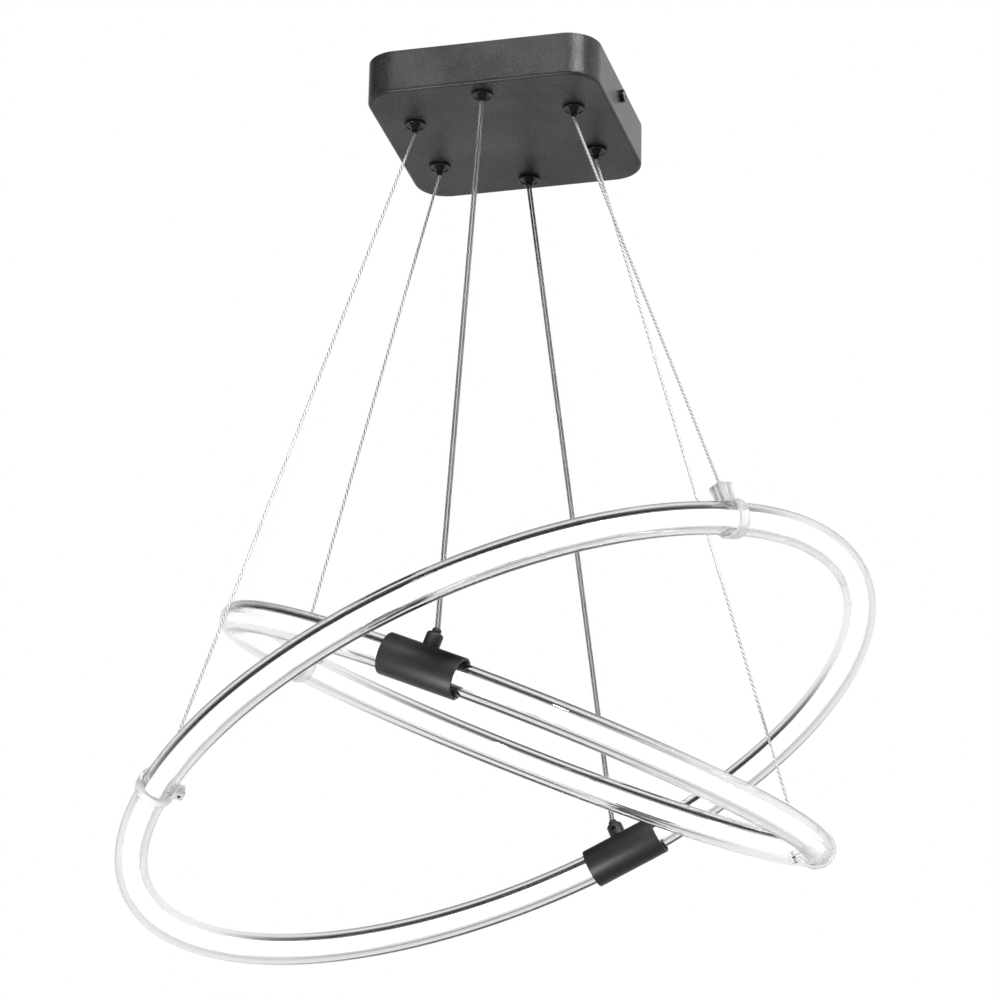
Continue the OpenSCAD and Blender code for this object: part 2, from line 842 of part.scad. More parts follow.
// Clear clip: collar, wire block and clamp ear
module clip(r, k) {
    at_ring(r, k[0])
    rotate([0, -k[1], 0])
    difference() {
        union() {
            rotate([90, 0, 0])
            cylinder(d = clip_od, h = clip_w, center = true);
            translate([-block_t / 2, -block_w / 2, tube_od / 2 - 3])
            cube([block_t, block_w, block_top - tube_od / 2 + 3]);
            rotate([0, -ear_angle, 0])
            translate([-ear_t / 2, -clip_w / 2 + 0.6, tube_od / 2 + 1])
            cube([ear_t, clip_w - 1.2, ear_reach - tube_od / 2 - 1]);
        }
        rotate([90, 0, 0])
        cylinder(d = tube_od + 2 * clip_gap, h = block_w + 4, center = true);
        cylinder(d = wire_d + 1.1, h = block_top + 5);
        rotate([0, -ear_angle, 0]) {
            translate([-0.5, -block_w, tube_od / 2 - 1])
            cube([1, 2 * block_w, 20]);
            translate([-ear_t, 0, ear_reach - 3.4])
            rotate([0, 90, 0])
            cylinder(d = clamp_screw_d + 0.04, h = 2 * ear_t);
        }
    }
}

module clamp_screw(r, k) {
    at_ring(r, k[0])
    rotate([0, -k[1] - ear_angle, 0])
    translate([-ear_t / 2 - 0.4, 0, ear_reach - 3.4])
    rotate([0, 90, 0])
    difference() {
        cylinder(d = clamp_screw_d, h = ear_t + 0.6);
        translate([0, 0, -1])
        cylinder(d = clamp_screw_d * 0.5, h = 2, $fn = 6);
    }
}

// Crimped end of a steel wire in the clip's block
module wire_end(r, k) {
    at_ring(r, k[0])
    rotate([0, -k[1], 0])
    translate([0, 0, tube_od / 2 + clip_gap + 0.1])
    cylinder(d = wire_d + 1.04, h = block_top - tube_od / 2 - clip_gap - 1.4);
}

module large_tube() {
    color([0.85, 0.88, 0.9, 0.4])
    in_large()
    tube_ring(large_r, large_conn_a);
}
module large_core() {
    color([1, 1, 0.97])
    in_large()
    core_ring(large_r, large_conn_a);
}
module large_led_strip() {
    color([0.95, 0.93, 0.8])
    in_large()
    strip_ring(large_r, large_conn_a);
}
module large_joiner() {
    color([0.06, 0.06, 0.06])
    in_large()
    joiner(large_r, large_conn_a);
}
module large_sleeve() {
    color([0.08, 0.08, 0.08])
    in_large()
    sleeve(large_r, large_conn_a);
}
module large_boss() {
    color([0.09, 0.09, 0.09])
    in_large()
    boss(large_r, large_conn_a);
}
module large_set_screw() {
    color([0.2, 0.2, 0.2])
    in_large()
    set_screw(large_r, large_conn_a);
}
module large_cord_nose() {
    color([0.05, 0.05, 0.05])
    in_large()
    cord_nose(large_r, large_conn_a);
}
module large_pigtail() {
    color([0.6, 0.6, 0.62])
    in_large()
    pigtail(large_r, large_conn_a);
}
module large_clip_left() {
    color([0.85, 0.88, 0.9, 0.5])
    in_large()
    clip(large_r, large_left_clip);
}
module large_clip_right() {
    color([0.85, 0.88, 0.9, 0.5])
    in_large()
    clip(large_r, large_right_clip);
}
module large_clamp_screws() {
    color([0.12, 0.12, 0.12])
    in_large() {
        clamp_screw(large_r, large_left_clip);
        clamp_screw(large_r, large_right_clip);
    }
}
module large_wire_ends() {
    color([0.7, 0.71, 0.73])
    in_large() {
        wire_end(large_r, large_left_clip);
        wire_end(large_r, large_right_clip);
    }
}

module small_tube() {
    color([0.85, 0.88, 0.9, 0.4])
    in_small()
    tube_ring(small_r, small_conn_a);
}
module small_core() {
    color([1, 1, 0.97])
    in_small()
    core_ring(small_r, small_conn_a);
}
module small_led_strip() {
    color([0.95, 0.93, 0.8])
    in_small()
    strip_ring(small_r, small_conn_a);
}
module small_joiner() {
    color([0.06, 0.06, 0.06])
    in_small()
    joiner(small_r, small_conn_a);
}
module small_sleeve() {
    color([0.08, 0.08, 0.08])
    in_small()
    sleeve(small_r, small_conn_a);
}
module small_boss() {
    color([0.09, 0.09, 0.09])
    in_small()
    boss(small_r, small_conn_a);
}
module small_set_screw() {
    color([0.2, 0.2, 0.2])
    in_small()
    set_screw(small_r, small_conn_a);
}
module small_cord_nose() {
    color([0.05, 0.05, 0.05])
    in_small()
    cord_nose(small_r, small_conn_a);
}
module small_pigtail() {
    color([0.6, 0.6, 0.62])
    in_small()
    pigtail(small_r, small_conn_a);
}
module small_clip_left() {
    color([0.85, 0.88, 0.9, 0.5])
    in_small()
    clip(small_r, small_left_clip);
}
module small_clip_right() {
    color([0.85, 0.88, 0.9, 0.5])
    in_small()
    clip(small_r, small_right_clip);
}
module small_clamp_screws() {
    color([0.12, 0.12, 0.12])
    in_small() {
        clamp_screw(small_r, small_left_clip);
        clamp_screw(small_r, small_right_clip);
    }
}
module small_wire_ends() {
    color([0.7, 0.71, 0.73])
    in_small() {
        wire_end(small_r, small_left_clip);
        wire_end(small_r, small_right_clip);
    }
}

canopy_cover();
ceiling_bracket();
side_screws();
earth_screw();
driver_pad();
driver_case();
driver_lid();
driver_board();
terminal_block();
terminal_screws();
mains_lead();
earth_lead();
wire_grip_bodies();
cord_grip_bodies();
grip_nuts();
plunger_large_left();
plunger_large_right();
plunger_small_left();
plunger_small_right();
spring_large_left();
spring_large_right();
spring_small_left();
spring_small_right();
wire_tails();
small_output_lead();
large_output_lead();
wire_large_left();
wire_large_right();
wire_small_left();
wire_small_right();
cord_large();
cord_small();
large_tube();
large_core();
large_led_strip();
large_joiner();
large_sleeve();
large_boss();
large_set_screw();
large_cord_nose();
large_pigtail();
large_clip_left();
large_clip_right();
large_clamp_screws();
large_wire_ends();
small_tube();
small_core();
small_led_strip();
small_joiner();
small_sleeve();
small_boss();
small_set_screw();
small_cord_nose();
small_pigtail();
small_clip_left();
small_clip_right();
small_clamp_screws();
small_wire_ends();
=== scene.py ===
# %% [markdown]
# # A pendant light with two clear tube rings
# The light hangs from a square ceiling canopy. Four thin steel wires and two
# power cords carry two tilted rings, and each ring is a thick clear tube with
# a glowing core inside. The CAD model gives the places of all pieces, so this
# lesson loads it first and dresses it.

import math

import bmesh
import bpy
from mathutils import Matrix, Vector


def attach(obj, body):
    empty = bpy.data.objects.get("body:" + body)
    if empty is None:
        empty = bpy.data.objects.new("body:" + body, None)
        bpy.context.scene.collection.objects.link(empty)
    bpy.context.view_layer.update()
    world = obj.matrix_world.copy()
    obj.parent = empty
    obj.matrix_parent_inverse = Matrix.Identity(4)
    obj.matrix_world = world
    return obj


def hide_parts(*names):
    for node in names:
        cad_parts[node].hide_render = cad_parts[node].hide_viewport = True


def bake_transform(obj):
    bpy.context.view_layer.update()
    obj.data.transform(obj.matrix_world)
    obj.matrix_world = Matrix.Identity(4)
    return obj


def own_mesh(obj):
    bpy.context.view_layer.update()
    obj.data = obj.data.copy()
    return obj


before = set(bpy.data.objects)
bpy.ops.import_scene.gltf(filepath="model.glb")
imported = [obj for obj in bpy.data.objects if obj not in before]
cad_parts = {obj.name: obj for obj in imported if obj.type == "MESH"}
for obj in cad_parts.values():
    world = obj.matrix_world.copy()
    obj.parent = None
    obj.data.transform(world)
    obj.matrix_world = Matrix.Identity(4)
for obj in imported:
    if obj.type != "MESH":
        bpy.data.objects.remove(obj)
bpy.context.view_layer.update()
MM = 0.001

# %% [markdown]
# ## The camera
# The product was photographed from below and from the right of its front, with
# a long lens. The place and the lens were worked out from the ring edges, the
# canopy's edges and the six wire exits, so the camera is built from its own
# right, up and forward directions instead of being aimed by eye.

# %% Camera
CAMERA_AT = Vector((0.997612, -3.720347, -2.035376))
YAW, PITCH, ROLL = (math.radians(v) for v in (-14.997898, 23.725412, 1.1270916))
LENS = 201.189
AHEAD = Vector((math.sin(YAW) * math.cos(PITCH), math.cos(YAW) * math.cos(PITCH), math.sin(PITCH)))


def make_camera():
    side = Vector((math.cos(YAW), -math.sin(YAW), 0))
    up = side.cross(AHEAD)
    right = side * math.cos(ROLL) + up * math.sin(ROLL)
    top = up * math.cos(ROLL) - side * math.sin(ROLL)
    turn = Matrix((right, top, -AHEAD)).transposed()
    camera = bpy.data.objects.new("camera", bpy.data.cameras.new("camera"))
    camera.data.lens, camera.data.sensor_width = LENS, 36
    camera.data.clip_start, camera.data.clip_end = 0.05, 60
    camera.matrix_world = Matrix.Translation(CAMERA_AT) @ turn.to_4x4()
    bpy.context.scene.collection.objects.link(camera)
    bpy.context.scene.camera = camera
    return camera


print("camera looks along", (make_camera().matrix_world.to_3x3() @ Vector((0, 0, -1))).to_tuple(3))

# %% [markdown]
# ## Node helpers
# A finish is a small network of shader nodes. A few helpers keep each one
# short: they add a node with its values, a colour ramp, a sum, a noise or a
# bump, and one makes a new material and hands back its main shader.


# %% Node helpers
def add(tree, kind, inputs=None, **settings):
    node = tree.nodes.new(kind)
    for key, value in settings.items():
        setattr(node, key, value)
    for key, value in (inputs or {}).items():
        if isinstance(value, bpy.types.NodeSocket):
            tree.links.new(value, node.inputs[key])
        else:
            node.inputs[key].default_value = value
    return node


def ramp(tree, value, stops):
    node = add(tree, "ShaderNodeValToRGB", {"Fac": value})
    while len(node.color_ramp.elements) < len(stops):
        node.color_ramp.elements.new(0.5)
    for element, (place, colour) in zip(node.color_ramp.elements, stops):
        element.position = place
        element.color = (*colour, 1)
    return node.outputs["Color"]


def grey(level):
    return (level, level, level)


def maths(tree, operation, *values):
    return add(tree, "ShaderNodeMath", dict(enumerate(values)), operation=operation).outputs[0]


def noise(tree, vector, scale, detail, **settings):
    values = {"Vector": vector, "Scale": scale, "Detail": detail, **settings}
    return add(tree, "ShaderNodeTexNoise", values).outputs["Fac"]


def new_material(name, **values):
    material = bpy.data.materials.new(name)
    material.use_nodes = True
    tree = material.node_tree
    shader = tree.nodes["Principled BSDF"]
    for key, value in values.items():
        shader.inputs[key.replace("_", " ")].default_value = value
    return material, tree, shader


def object_point(tree):
    return add(tree, "ShaderNodeTexCoord").outputs["Object"]


def uv_point(tree):
    return add(tree, "ShaderNodeTexCoord").outputs["UV"]


def bump(tree, shader, height, strength, distance):
    node = add(tree, "ShaderNodeBump", {"Height": height, "Strength": strength, "Distance": distance})
    tree.links.new(node.outputs["Normal"], shader.inputs["Normal"])


print("node helpers ready")

# %% [markdown]
# ## What surrounds the light
# The photograph has a pure white backdrop, and clear tubes only show up when
# they bend something darker into view. So a big black flag hangs up and to the
# left, a smaller one hangs low behind the light, and the room behind the
# camera is dim. Metal and clear plastic see all of this, and refraction then
# draws dark lines beside each core. The camera itself sees plain white, and
# matte surfaces get a softer, plain light. Each ramp runs from straight away
# from its direction (0) to straight towards it (1).

# %% World
DIFFUSE_STOPS = [(0.0, 0.12), (0.22, 0.16), (0.4, 0.6), (0.6, 0.7), (0.84, 0.7), (1.0, 0.3)]
BEHIND_STOPS = [(0.38, 0.15), (0.5, 0.85), (0.6, 1.0)]
FLAG_TOWARDS = Vector((-0.34, -0.43, 0.83)).normalized()
FLAG_STOPS = [(0.0, 0.04), (0.03, 0.25), (0.1, 0.66), (0.3, 0.84), (0.5, 0.97), (0.61, 0.85), (0.71, 0.2),
              (0.79, 0.02)]
LOW_TOWARDS = Vector((-0.60, 0.35, -0.72)).normalized()
LOW_STOPS = [(0.9, 1.0), (0.97, 0.12)]


def graded(tree, direction, axis, stops):
    dot = add(tree, "ShaderNodeVectorMath", {0: direction, 1: tuple(axis)}, operation="DOT_PRODUCT")
    share = add(tree, "ShaderNodeMapRange", {"Value": dot.outputs["Value"], "From Min": -1, "From Max": 1})
    return ramp(tree, share.outputs["Result"], [(place, grey(level)) for place, level in stops])


def product(tree, a, b):
    return add(tree, "ShaderNodeVectorMath", {0: a, 1: b}, operation="MULTIPLY").outputs[0]


def make_world():
    world = bpy.data.worlds.new("studio")
    bpy.context.scene.world = world
    world.use_nodes = True
    tree = world.node_tree
    tree.nodes.clear()
    ray = add(tree, "ShaderNodeLightPath").outputs
    direction = add(tree, "ShaderNodeTexCoord").outputs["Generated"]
    soft = graded(tree, direction, (0, 0, 1), DIFFUSE_STOPS)
    flag = graded(tree, direction, FLAG_TOWARDS, FLAG_STOPS)
    behind = graded(tree, direction, AHEAD, BEHIND_STOPS)
    low = graded(tree, direction, LOW_TOWARDS, LOW_STOPS)
    shiny = product(tree, product(tree, flag, behind), low)
    seen = maths(tree, "MAXIMUM", ray["Is Glossy Ray"], ray["Is Transmission Ray"])
    colour = add(tree, "ShaderNodeMix", {"Factor": seen, "A": soft, "B": shiny}, data_type="RGBA")
    lit = add(tree, "ShaderNodeBackground", {"Color": colour.outputs["Result"], "Strength": 1.0})
    plain = add(tree, "ShaderNodeBackground", {"Color": (1, 1, 1, 1), "Strength": 1.0})
    mix = add(tree, "ShaderNodeMixShader", {0: ray["Is Camera Ray"], 1: lit.outputs[0], 2: plain.outputs[0]})
    add(tree, "ShaderNodeOutputWorld", {"Surface": mix.outputs[0]})


make_world()
print("world ready, with flags towards", FLAG_TOWARDS.to_tuple(2), "and", LOW_TOWARDS.to_tuple(2))

# %% [markdown]
# ## The floor
# The light hangs in an empty white space, far above the floor. A world colour
# alone would do for the backdrop, but a floor gives the room a bottom, so a
# pale one lies well below and looks plain white to the camera. It stays out of
# reflections and refractions, where it would hide the low flag.

# %% Floor
FLOOR_Z = -5.0


def make_floor():
    bm = bmesh.new()
    bmesh.ops.create_grid(bm, x_segments=2, y_segments=2, size=30)
    bmesh.ops.translate(bm, verts=bm.verts, vec=(0, 0, FLOOR_Z))
    mesh = bpy.data.meshes.new("floor")
    bm.to_mesh(mesh)
    floor = bpy.data.objects.new("floor", mesh)
    bpy.context.scene.collection.objects.link(floor)
    material, tree, shader = new_material("pale_floor", Roughness=0.9)
    shader.inputs["Base Color"].default_value = (0.85, 0.85, 0.85, 1)
    ray = add(tree, "ShaderNodeLightPath").outputs
    glow = add(tree, "ShaderNodeEmission", {"Color": (1, 1, 1, 1), "Strength": 1.0})
    both = {0: ray["Is Camera Ray"], 1: shader.outputs[0], 2: glow.outputs[0]}
    mix = add(tree, "ShaderNodeMixShader", both)
    tree.links.new(mix.outputs[0], tree.nodes["Material Output"].inputs["Surface"])
    mesh.materials.append(material)
    floor.visible_glossy = floor.visible_transmission = False


make_floor()
print("floor at", FLOOR_Z, "m")

# %% [markdown]
# ## The lamps
# Dark pieces need lamps of their own, because the world's light is plain. A
# broad key lamp in front lights the canopy's side and the connectors, a small
# one draws the glint on the canopy's right front corner, and a low strip gives
# its underside a sheen. Area lamps are used for their soft edges.


# %% Lamps
def softbox(name, at, aim, size, watts):
    lamp = bpy.data.lights.new(name, "AREA")
    lamp.shape, lamp.size, lamp.size_y, lamp.energy = "RECTANGLE", size[0], size[1], watts
    box = bpy.data.objects.new(name, lamp)
    box.location = at
    box.rotation_euler = (Vector(aim) - Vector(at)).to_track_quat("-Z", "Y").to_euler()
    bpy.context.scene.collection.objects.link(box)
    box.visible_camera = False


softbox("key", at=(-0.2, -2.6, 1.2), aim=(0, 0, -0.3), size=(1.2, 0.8), watts=26)
softbox("corner", at=(1.5, -1.5, 0.95), aim=(0.08, -0.08, -0.02), size=(0.14, 0.3), watts=52)
softbox("underlight", at=(-0.5, -0.95, -1.95), aim=(0, -0.09, -0.035), size=(0.5, 0.12), watts=30)
bpy.context.scene.view_settings.view_transform = "Standard"
print("lamps ready:", [lamp.name for lamp in bpy.data.lights])

# %% [markdown]
# ## Making a piece
# A piece is modelled in millimetres with bmesh, moved to its place with one
# matrix, scaled to metres and linked. Its object stays at the origin, so that
# patterns on object coordinates stay put. Each piece says which body it rides
# on, which CAD nodes it stands for and which material slot it takes.


# %% Piece helper
SMOOTH_BELOW = math.radians(35)


def piece(name, bm, material, body, replaces=(), place=None, fix_normals=True):
    if place is not None:
        bmesh.ops.transform(bm, matrix=place, verts=bm.verts)
    bmesh.ops.scale(bm, vec=(MM, MM, MM), verts=bm.verts)
    if fix_normals:
        bmesh.ops.recalc_face_normals(bm, faces=bm.faces)
    for face in bm.faces:
        face.smooth = True
    for edge in bm.edges:
        if len(edge.link_faces) == 2:
            edge.smooth = edge.calc_face_angle(0) < SMOOTH_BELOW
    mesh = bpy.data.meshes.new(name)
    bm.to_mesh(mesh)
    bm.free()
    obj = bpy.data.objects.new(name, mesh)
    bpy.context.scene.collection.objects.link(obj)
    mesh.materials.append(material)
    if body:
        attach(obj, body)
    if replaces:
        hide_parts(*replaces)
    return obj


def join_in(bm, other):
    mesh = bpy.data.meshes.new("part")
    other.to_mesh(mesh)
    bm.from_mesh(mesh)
    other.free()
    bpy.data.meshes.remove(mesh)


print("piece helper ready")

# %% [markdown]
# ## Turned shapes
# Flanges, noses, bosses and screws are turned parts. Their half outline is a
# line of points (radius, height), which bmesh spins about Z. Sharp edges are
# bevelled afterwards, because a real edge always catches a little light.


# %% Turned shapes
def turned(outline, steps=48, bevel=0.0, closed=False):
    bm = bmesh.new()
    points = [bm.verts.new((r, 0, z)) for r, z in outline]
    pairs = list(zip(points, points[1:]))
    if closed:
        pairs.append((points[-1], points[0]))
    edges = [bm.edges.new(pair) for pair in pairs]
    bmesh.ops.spin(bm, geom=points + edges, cent=(0, 0, 0), axis=(0, 0, 1), angle=math.tau, steps=steps,
                   use_merge=True, use_duplicate=False)
    bmesh.ops.remove_doubles(bm, verts=bm.verts, dist=1e-4)
    bmesh.ops.recalc_face_normals(bm, faces=bm.faces)
    if bevel:
        soften(bm, bevel)
    return bm


def soften(bm, width, segments=3, least=30):
    sharp = [e for e in bm.edges if len(e.link_faces) == 2 and e.calc_face_angle(0) > math.radians(least)]
    bmesh.ops.bevel(bm, geom=sharp, offset=width, offset_type="OFFSET", segments=segments, profile=0.5,
                    affect="EDGES", clamp_overlap=True, material=-1)


def block(size, centre=(0, 0, 0), bevel=0.0):
    bm = bmesh.new()
    bmesh.ops.create_cube(bm, size=1)
    bmesh.ops.scale(bm, vec=size, verts=bm.verts)
    bmesh.ops.translate(bm, vec=centre, verts=bm.verts)
    if bevel:
        soften(bm, bevel)
    return bm


def moved(bm, matrix):
    bmesh.ops.transform(bm, matrix=matrix, verts=bm.verts)
    return bm


print("a turned test ring has", len(turned([(4, 0), (6, 0), (6, 2), (4, 2)], closed=True).faces), "faces")

# %% [markdown]
# ## Where things are on a ring
# Each ring has a centre, a tilt and a radius. A piece on a ring is modelled
# with X outwards, Y along the tube and Z along the ring's axis, and one matrix
# carries it to its place. The clips are turned about the tube besides, so that
# their wires pull straight.

# %% Ring places
CANOPY_W, CANOPY_H, SHEET_T = 183.0, 35.0, 1.2
EXIT_R = 72.75
NOSE_TIP = -43.8
CORD_TIP = -42.0
RINGS = {
    "large": {"r": 288.0, "at": (4.5, 0.0, -538.8), "tilt": (0.7, -22.8), "joint": 83.8,
              "clips": {"left": (219.8, 40.0), "right": (323.0, -7.0)}},
    "small": {"r": 230.0, "at": (23.5, 0.8, -533.8), "tilt": (9.3, 24.15), "joint": 269.8,
              "clips": {"left": (163.5, -9.4), "right": (20.6, 60.0)}},
}
WIRE_EXITS = {("large", "left"): 210, ("large", "right"): 330,
              ("small", "left"): 150, ("small", "right"): 30}
CORD_EXITS = {"large": 90, "small": 270}


def rotated(axis, degrees):
    return Matrix.Rotation(math.radians(degrees), 4, axis)


def ring_place(name):
    ring = RINGS[name]
    return Matrix.Translation(ring["at"]) @ rotated("Y", ring["tilt"][1]) @ rotated("X", ring["tilt"][0])


def on_ring(name, angle, turn=0.0):
    out = Matrix.Translation((RINGS[name]["r"], 0, 0))
    return ring_place(name) @ rotated("Z", angle) @ out @ rotated("Y", -turn)


def exit_place(angle, z=0.0):
    a = math.radians(angle)
    return Matrix.Translation((EXIT_R * math.cos(a), EXIT_R * math.sin(a), z))


for name in RINGS:
    print(name, "joint at", tuple(round(v, 1) for v in on_ring(name, RINGS[name]["joint"]).translation))

# %% [markdown]
# ## Clear plastics
# The tube is polished acrylic with an index of 1.49. A real wall with a real
# bore is modelled, so the lines beside the core come from true refraction and
# from total reflection on the bore, not from painted stripes. The clips are
# moulded and a little milky.


# %% Clear plastics
ACRYLIC_IOR = 1.49


def clear_plastic(name, tint, wave, rough, clarity):
    material, tree, shader = new_material(name, Roughness=rough, IOR=ACRYLIC_IOR, Transmission_Weight=clarity)
    shader.inputs["Base Color"].default_value = (*tint, 1)
    bump(tree, shader, noise(tree, object_point(tree), 16.0, 1.0), wave, 0.001)
    return material


def drawn_acrylic(name, tint, streak):
    material, tree, shader = new_material(name, Roughness=0.0, IOR=ACRYLIC_IOR, Transmission_Weight=1.0)
    shader.inputs["Base Color"].default_value = (*tint, 1)
    place = add(tree, "ShaderNodeSeparateXYZ", {"Vector": uv_point(tree)}).outputs
    turn = maths(tree, "MULTIPLY", place["Y"], math.tau)
    lines_run = {"X": maths(tree, "COSINE", turn), "Y": maths(tree, "SINE", turn), "Z": place["X"]}
    way = add(tree, "ShaderNodeCombineXYZ", lines_run).outputs[0]
    bump(tree, shader, noise(tree, way, 5.0, 2.0), streak, 0.001)
    return material


TUBE_CLEAR = drawn_acrylic("tube_clear", (0.955, 0.96, 0.965), streak=0.05)
CLIP_CLEAR = clear_plastic("clip_clear", (0.93, 0.94, 0.94), wave=0.3, rough=0.08, clarity=0.7)
print("clear plastics:", TUBE_CLEAR.name, CLIP_CLEAR.name)

# %% [markdown]
# ## The glowing core
# Where it is seen from below, its flat face looks a touch greyer than its
# rounded edges, so the glow is dimmed in narrow bands on that face as painted
# shade. The dimming follows the angle round the core's own section, which the
# sweep stores as a UV map.


# %% Core and strip finishes
# Painted shade: the dips below 1.0 dim the glow in bands on the flat face that is seen from below.
GLOW_AND_PAINTED_SHADE_STOPS = [(0.0, 1.0), (0.66, 1.0), (0.685, 0.8), (0.71, 0.94), (0.77, 0.9), (0.8, 0.8), (0.83, 1.0)]


def core_glow_and_painted_shade():
    material, tree, shader = new_material("core_glow_and_painted_shade", Roughness=0.4)
    shader.inputs["Base Color"].default_value = (0.9, 0.9, 0.9, 1)
    across = add(tree, "ShaderNodeSeparateXYZ", {"Vector": uv_point(tree)}).outputs["Y"]
    glow = ramp(tree, across, [(place, grey(level)) for place, level in GLOW_AND_PAINTED_SHADE_STOPS])
    tree.links.new(glow, shader.inputs["Emission Color"])
    shader.inputs["Emission Strength"].default_value = 1.0
    return material


def strip_finish():
    material, tree, shader = new_material("led_strip", Roughness=0.5)
    cells = add(tree, "ShaderNodeTexVoronoi", {"Vector": object_point(tree), "Scale": 160.0})
    colour = ramp(tree, cells.outputs["Distance"], [(0.0, (1.0, 0.85, 0.4)), (0.25, (0.95, 0.94, 0.9))])
    tree.links.new(colour, shader.inputs["Base Color"])
    tree.links.new(colour, shader.inputs["Emission Color"])
    shader.inputs["Emission Strength"].default_value = 1.0
    return material


CORE_GLOW_AND_PAINTED_SHADE = core_glow_and_painted_shade()
STRIP = strip_finish()
print("core finishes:", CORE_GLOW_AND_PAINTED_SHADE.name, STRIP.name)

# %% [markdown]
# ## Sections of a ring
# The tube is round, the core is a flattened bar with round corners, and the
# LED strip inside it is a thin tape. Their outlines are plain lists of points
# (outwards, upwards), worked out from a few sizes, so that one sweep can make
# all three.

# %% Sections
TUBE_OD, TUBE_ID = 24.0, 13.8
CORE_W, CORE_H, CORE_R = 12.6, 9.0, 3.9
STRIP_W, STRIP_T = 6.0, 1.2
STRIP_ROOM = 0.3
RING_STEPS, TUBE_SIDES = ((384, 64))


def circle_points(radius, count, shift=0.0):
    return [(radius * math.cos(math.tau * i / count) + shift, radius * math.sin(math.tau * i / count))
            for i in range(count)]


def rounded_outline(width, height, radius, per_corner=6):
    points = []
    for corner, (sx, sz) in enumerate(((1, 1), (-1, 1), (-1, -1), (1, -1))):
        for i in range(per_corner + 1):
            a = math.radians(90 * (corner + i / per_corner))
            points.append((sx * (width / 2 - radius) + radius * math.cos(a),
                           sz * (height / 2 - radius) + radius * math.sin(a)))
    return points


def box_outline(width, height):
    return [(x * width / 2, z * height / 2) for x, z in ((1, 1), (-1, 1), (-1, -1), (1, -1))]


TUBE_OUTER, TUBE_BORE = (circle_points(size / 2, TUBE_SIDES) for size in (TUBE_OD, TUBE_ID))
CORE_OUTER = rounded_outline(CORE_W, CORE_H, CORE_R)
CORE_SLOT = box_outline(STRIP_W + STRIP_ROOM, STRIP_T + STRIP_ROOM)
STRIP_OUTER = box_outline(STRIP_W, STRIP_T)
print("tube section has", len(TUBE_OUTER), "sides, core section has", len(CORE_OUTER))

# %% [markdown]
# ## Sweeping a section
# A section is swept round the ring's axis, open by a few millimetres where the
# connector joins the ends. Outer wall and bore are each spun on their own, and
# the open ends are filled between them, so the walls are closed solids that
# refract properly. A curve with a bevel would be quicker, but has no true bore.


# %% Sweep
def sweep_wall(bm, outline, name, gap):
    r = RINGS[name]["r"]
    start = RINGS[name]["joint"] + math.degrees(gap / r)
    points = [bm.verts.new((r + x, 0, z)) for x, z in outline]
    loop = [bm.edges.new((points[i], points[(i + 1) % len(points)])) for i in range(len(points))]
    bmesh.ops.rotate(bm, verts=points, cent=(0, 0, 0), matrix=rotated("Z", start).to_3x3())
    end = bmesh.ops.spin(bm, geom=points + loop, cent=(0, 0, 0), axis=(0, 0, 1),
                         angle=math.tau - 2 * gap / r, steps=RING_STEPS, use_duplicate=False)
    last = [e for e in end["geom_last"] if isinstance(e, bmesh.types.BMEdge)]
    return loop, last


def write_section_uv(bm, name):
    layer = bm.loops.layers.uv.new("section")
    r = RINGS[name]["r"]
    for face in bm.faces:
        for loop in face.loops:
            x, y, z = loop.vert.co
            around = math.atan2(z, math.hypot(x, y) - r) / math.tau % 1.0
            loop[layer].uv = (math.atan2(y, x) / math.tau % 1.0, around)


def swept(name, outer, inner, gap):
    bm = bmesh.new()
    outer_ends = sweep_wall(bm, outer, name, gap)
    if inner:
        inner_ends = sweep_wall(bm, inner, name, gap)
        for a, b in zip(outer_ends, inner_ends):
            bmesh.ops.triangle_fill(bm, use_beauty=True, use_dissolve=False, edges=list(a) + list(b))
    else:
        for loop in outer_ends:
            bmesh.ops.contextual_create(bm, geom=loop)
    write_section_uv(bm, name)
    return bm


print("sweep ready, with", RING_STEPS, "steps round a ring")

# %% [markdown]
# ## The two rings
# Both rings are made alike: a tube, a milky core inside its bore and a strip
# inside the core. A joiner with two spigots sits in the gap, so the core stops
# a little before the tube does, and the strip a little before the core.

# %% Rings
JOINER_T, SPIGOT_L = 6.0, 8.0
TUBE_GAP = JOINER_T / 2 + 0.02
CORE_GAP = JOINER_T / 2 + SPIGOT_L + 0.05
STRIP_GAP = CORE_GAP + 0.25


def make_ring(name):
    body = f"{name}_ring"
    place = ring_place(name)
    tube = swept(name, TUBE_OUTER, TUBE_BORE, TUBE_GAP)
    piece(f"{name}_tube_clear", tube, TUBE_CLEAR, body, [f"{name}_tube"], place)
    core = swept(name, CORE_OUTER, CORE_SLOT, CORE_GAP)
    piece(f"{name}_core_milky", core, CORE_GLOW_AND_PAINTED_SHADE, body, [f"{name}_core"], place)
    strip = swept(name, STRIP_OUTER, None, STRIP_GAP)
    piece(f"{name}_strip_tape", strip, STRIP, body, [f"{name}_led_strip"], place)


for name in RINGS:
    make_ring(name)
    print(name, "ring is", 2 * RINGS[name]["r"] + TUBE_OD, "mm wide outside")

# %% [markdown]
# ## Dark finishes
# Three dark finishes repeat: a grainy powder coat on the canopy, a smooth
# satin black on the connectors, and a glossy black on the wire grips and
# screws. They differ in grain, roughness and how bright their base is.


# %% Dark finishes
def powder_coat(name, dark, light, grain, rough, texture, shine=0.5):
    material, tree, shader = new_material(name, Roughness=rough, Specular_IOR_Level=shine)
    point = object_point(tree)
    fine = noise(tree, point, grain, 2.0, Roughness=0.6)
    broad = noise(tree, point, 22.0, 3.0)
    blend = add(tree, "ShaderNodeMix", {"Factor": 0.3, "A": fine, "B": broad}).outputs["Result"]
    colour = ramp(tree, blend, [(0.4, grey(dark)), (0.6, grey(light))])
    tree.links.new(colour, shader.inputs["Base Color"])
    bump(tree, shader, fine, texture, 0.0002)
    return material


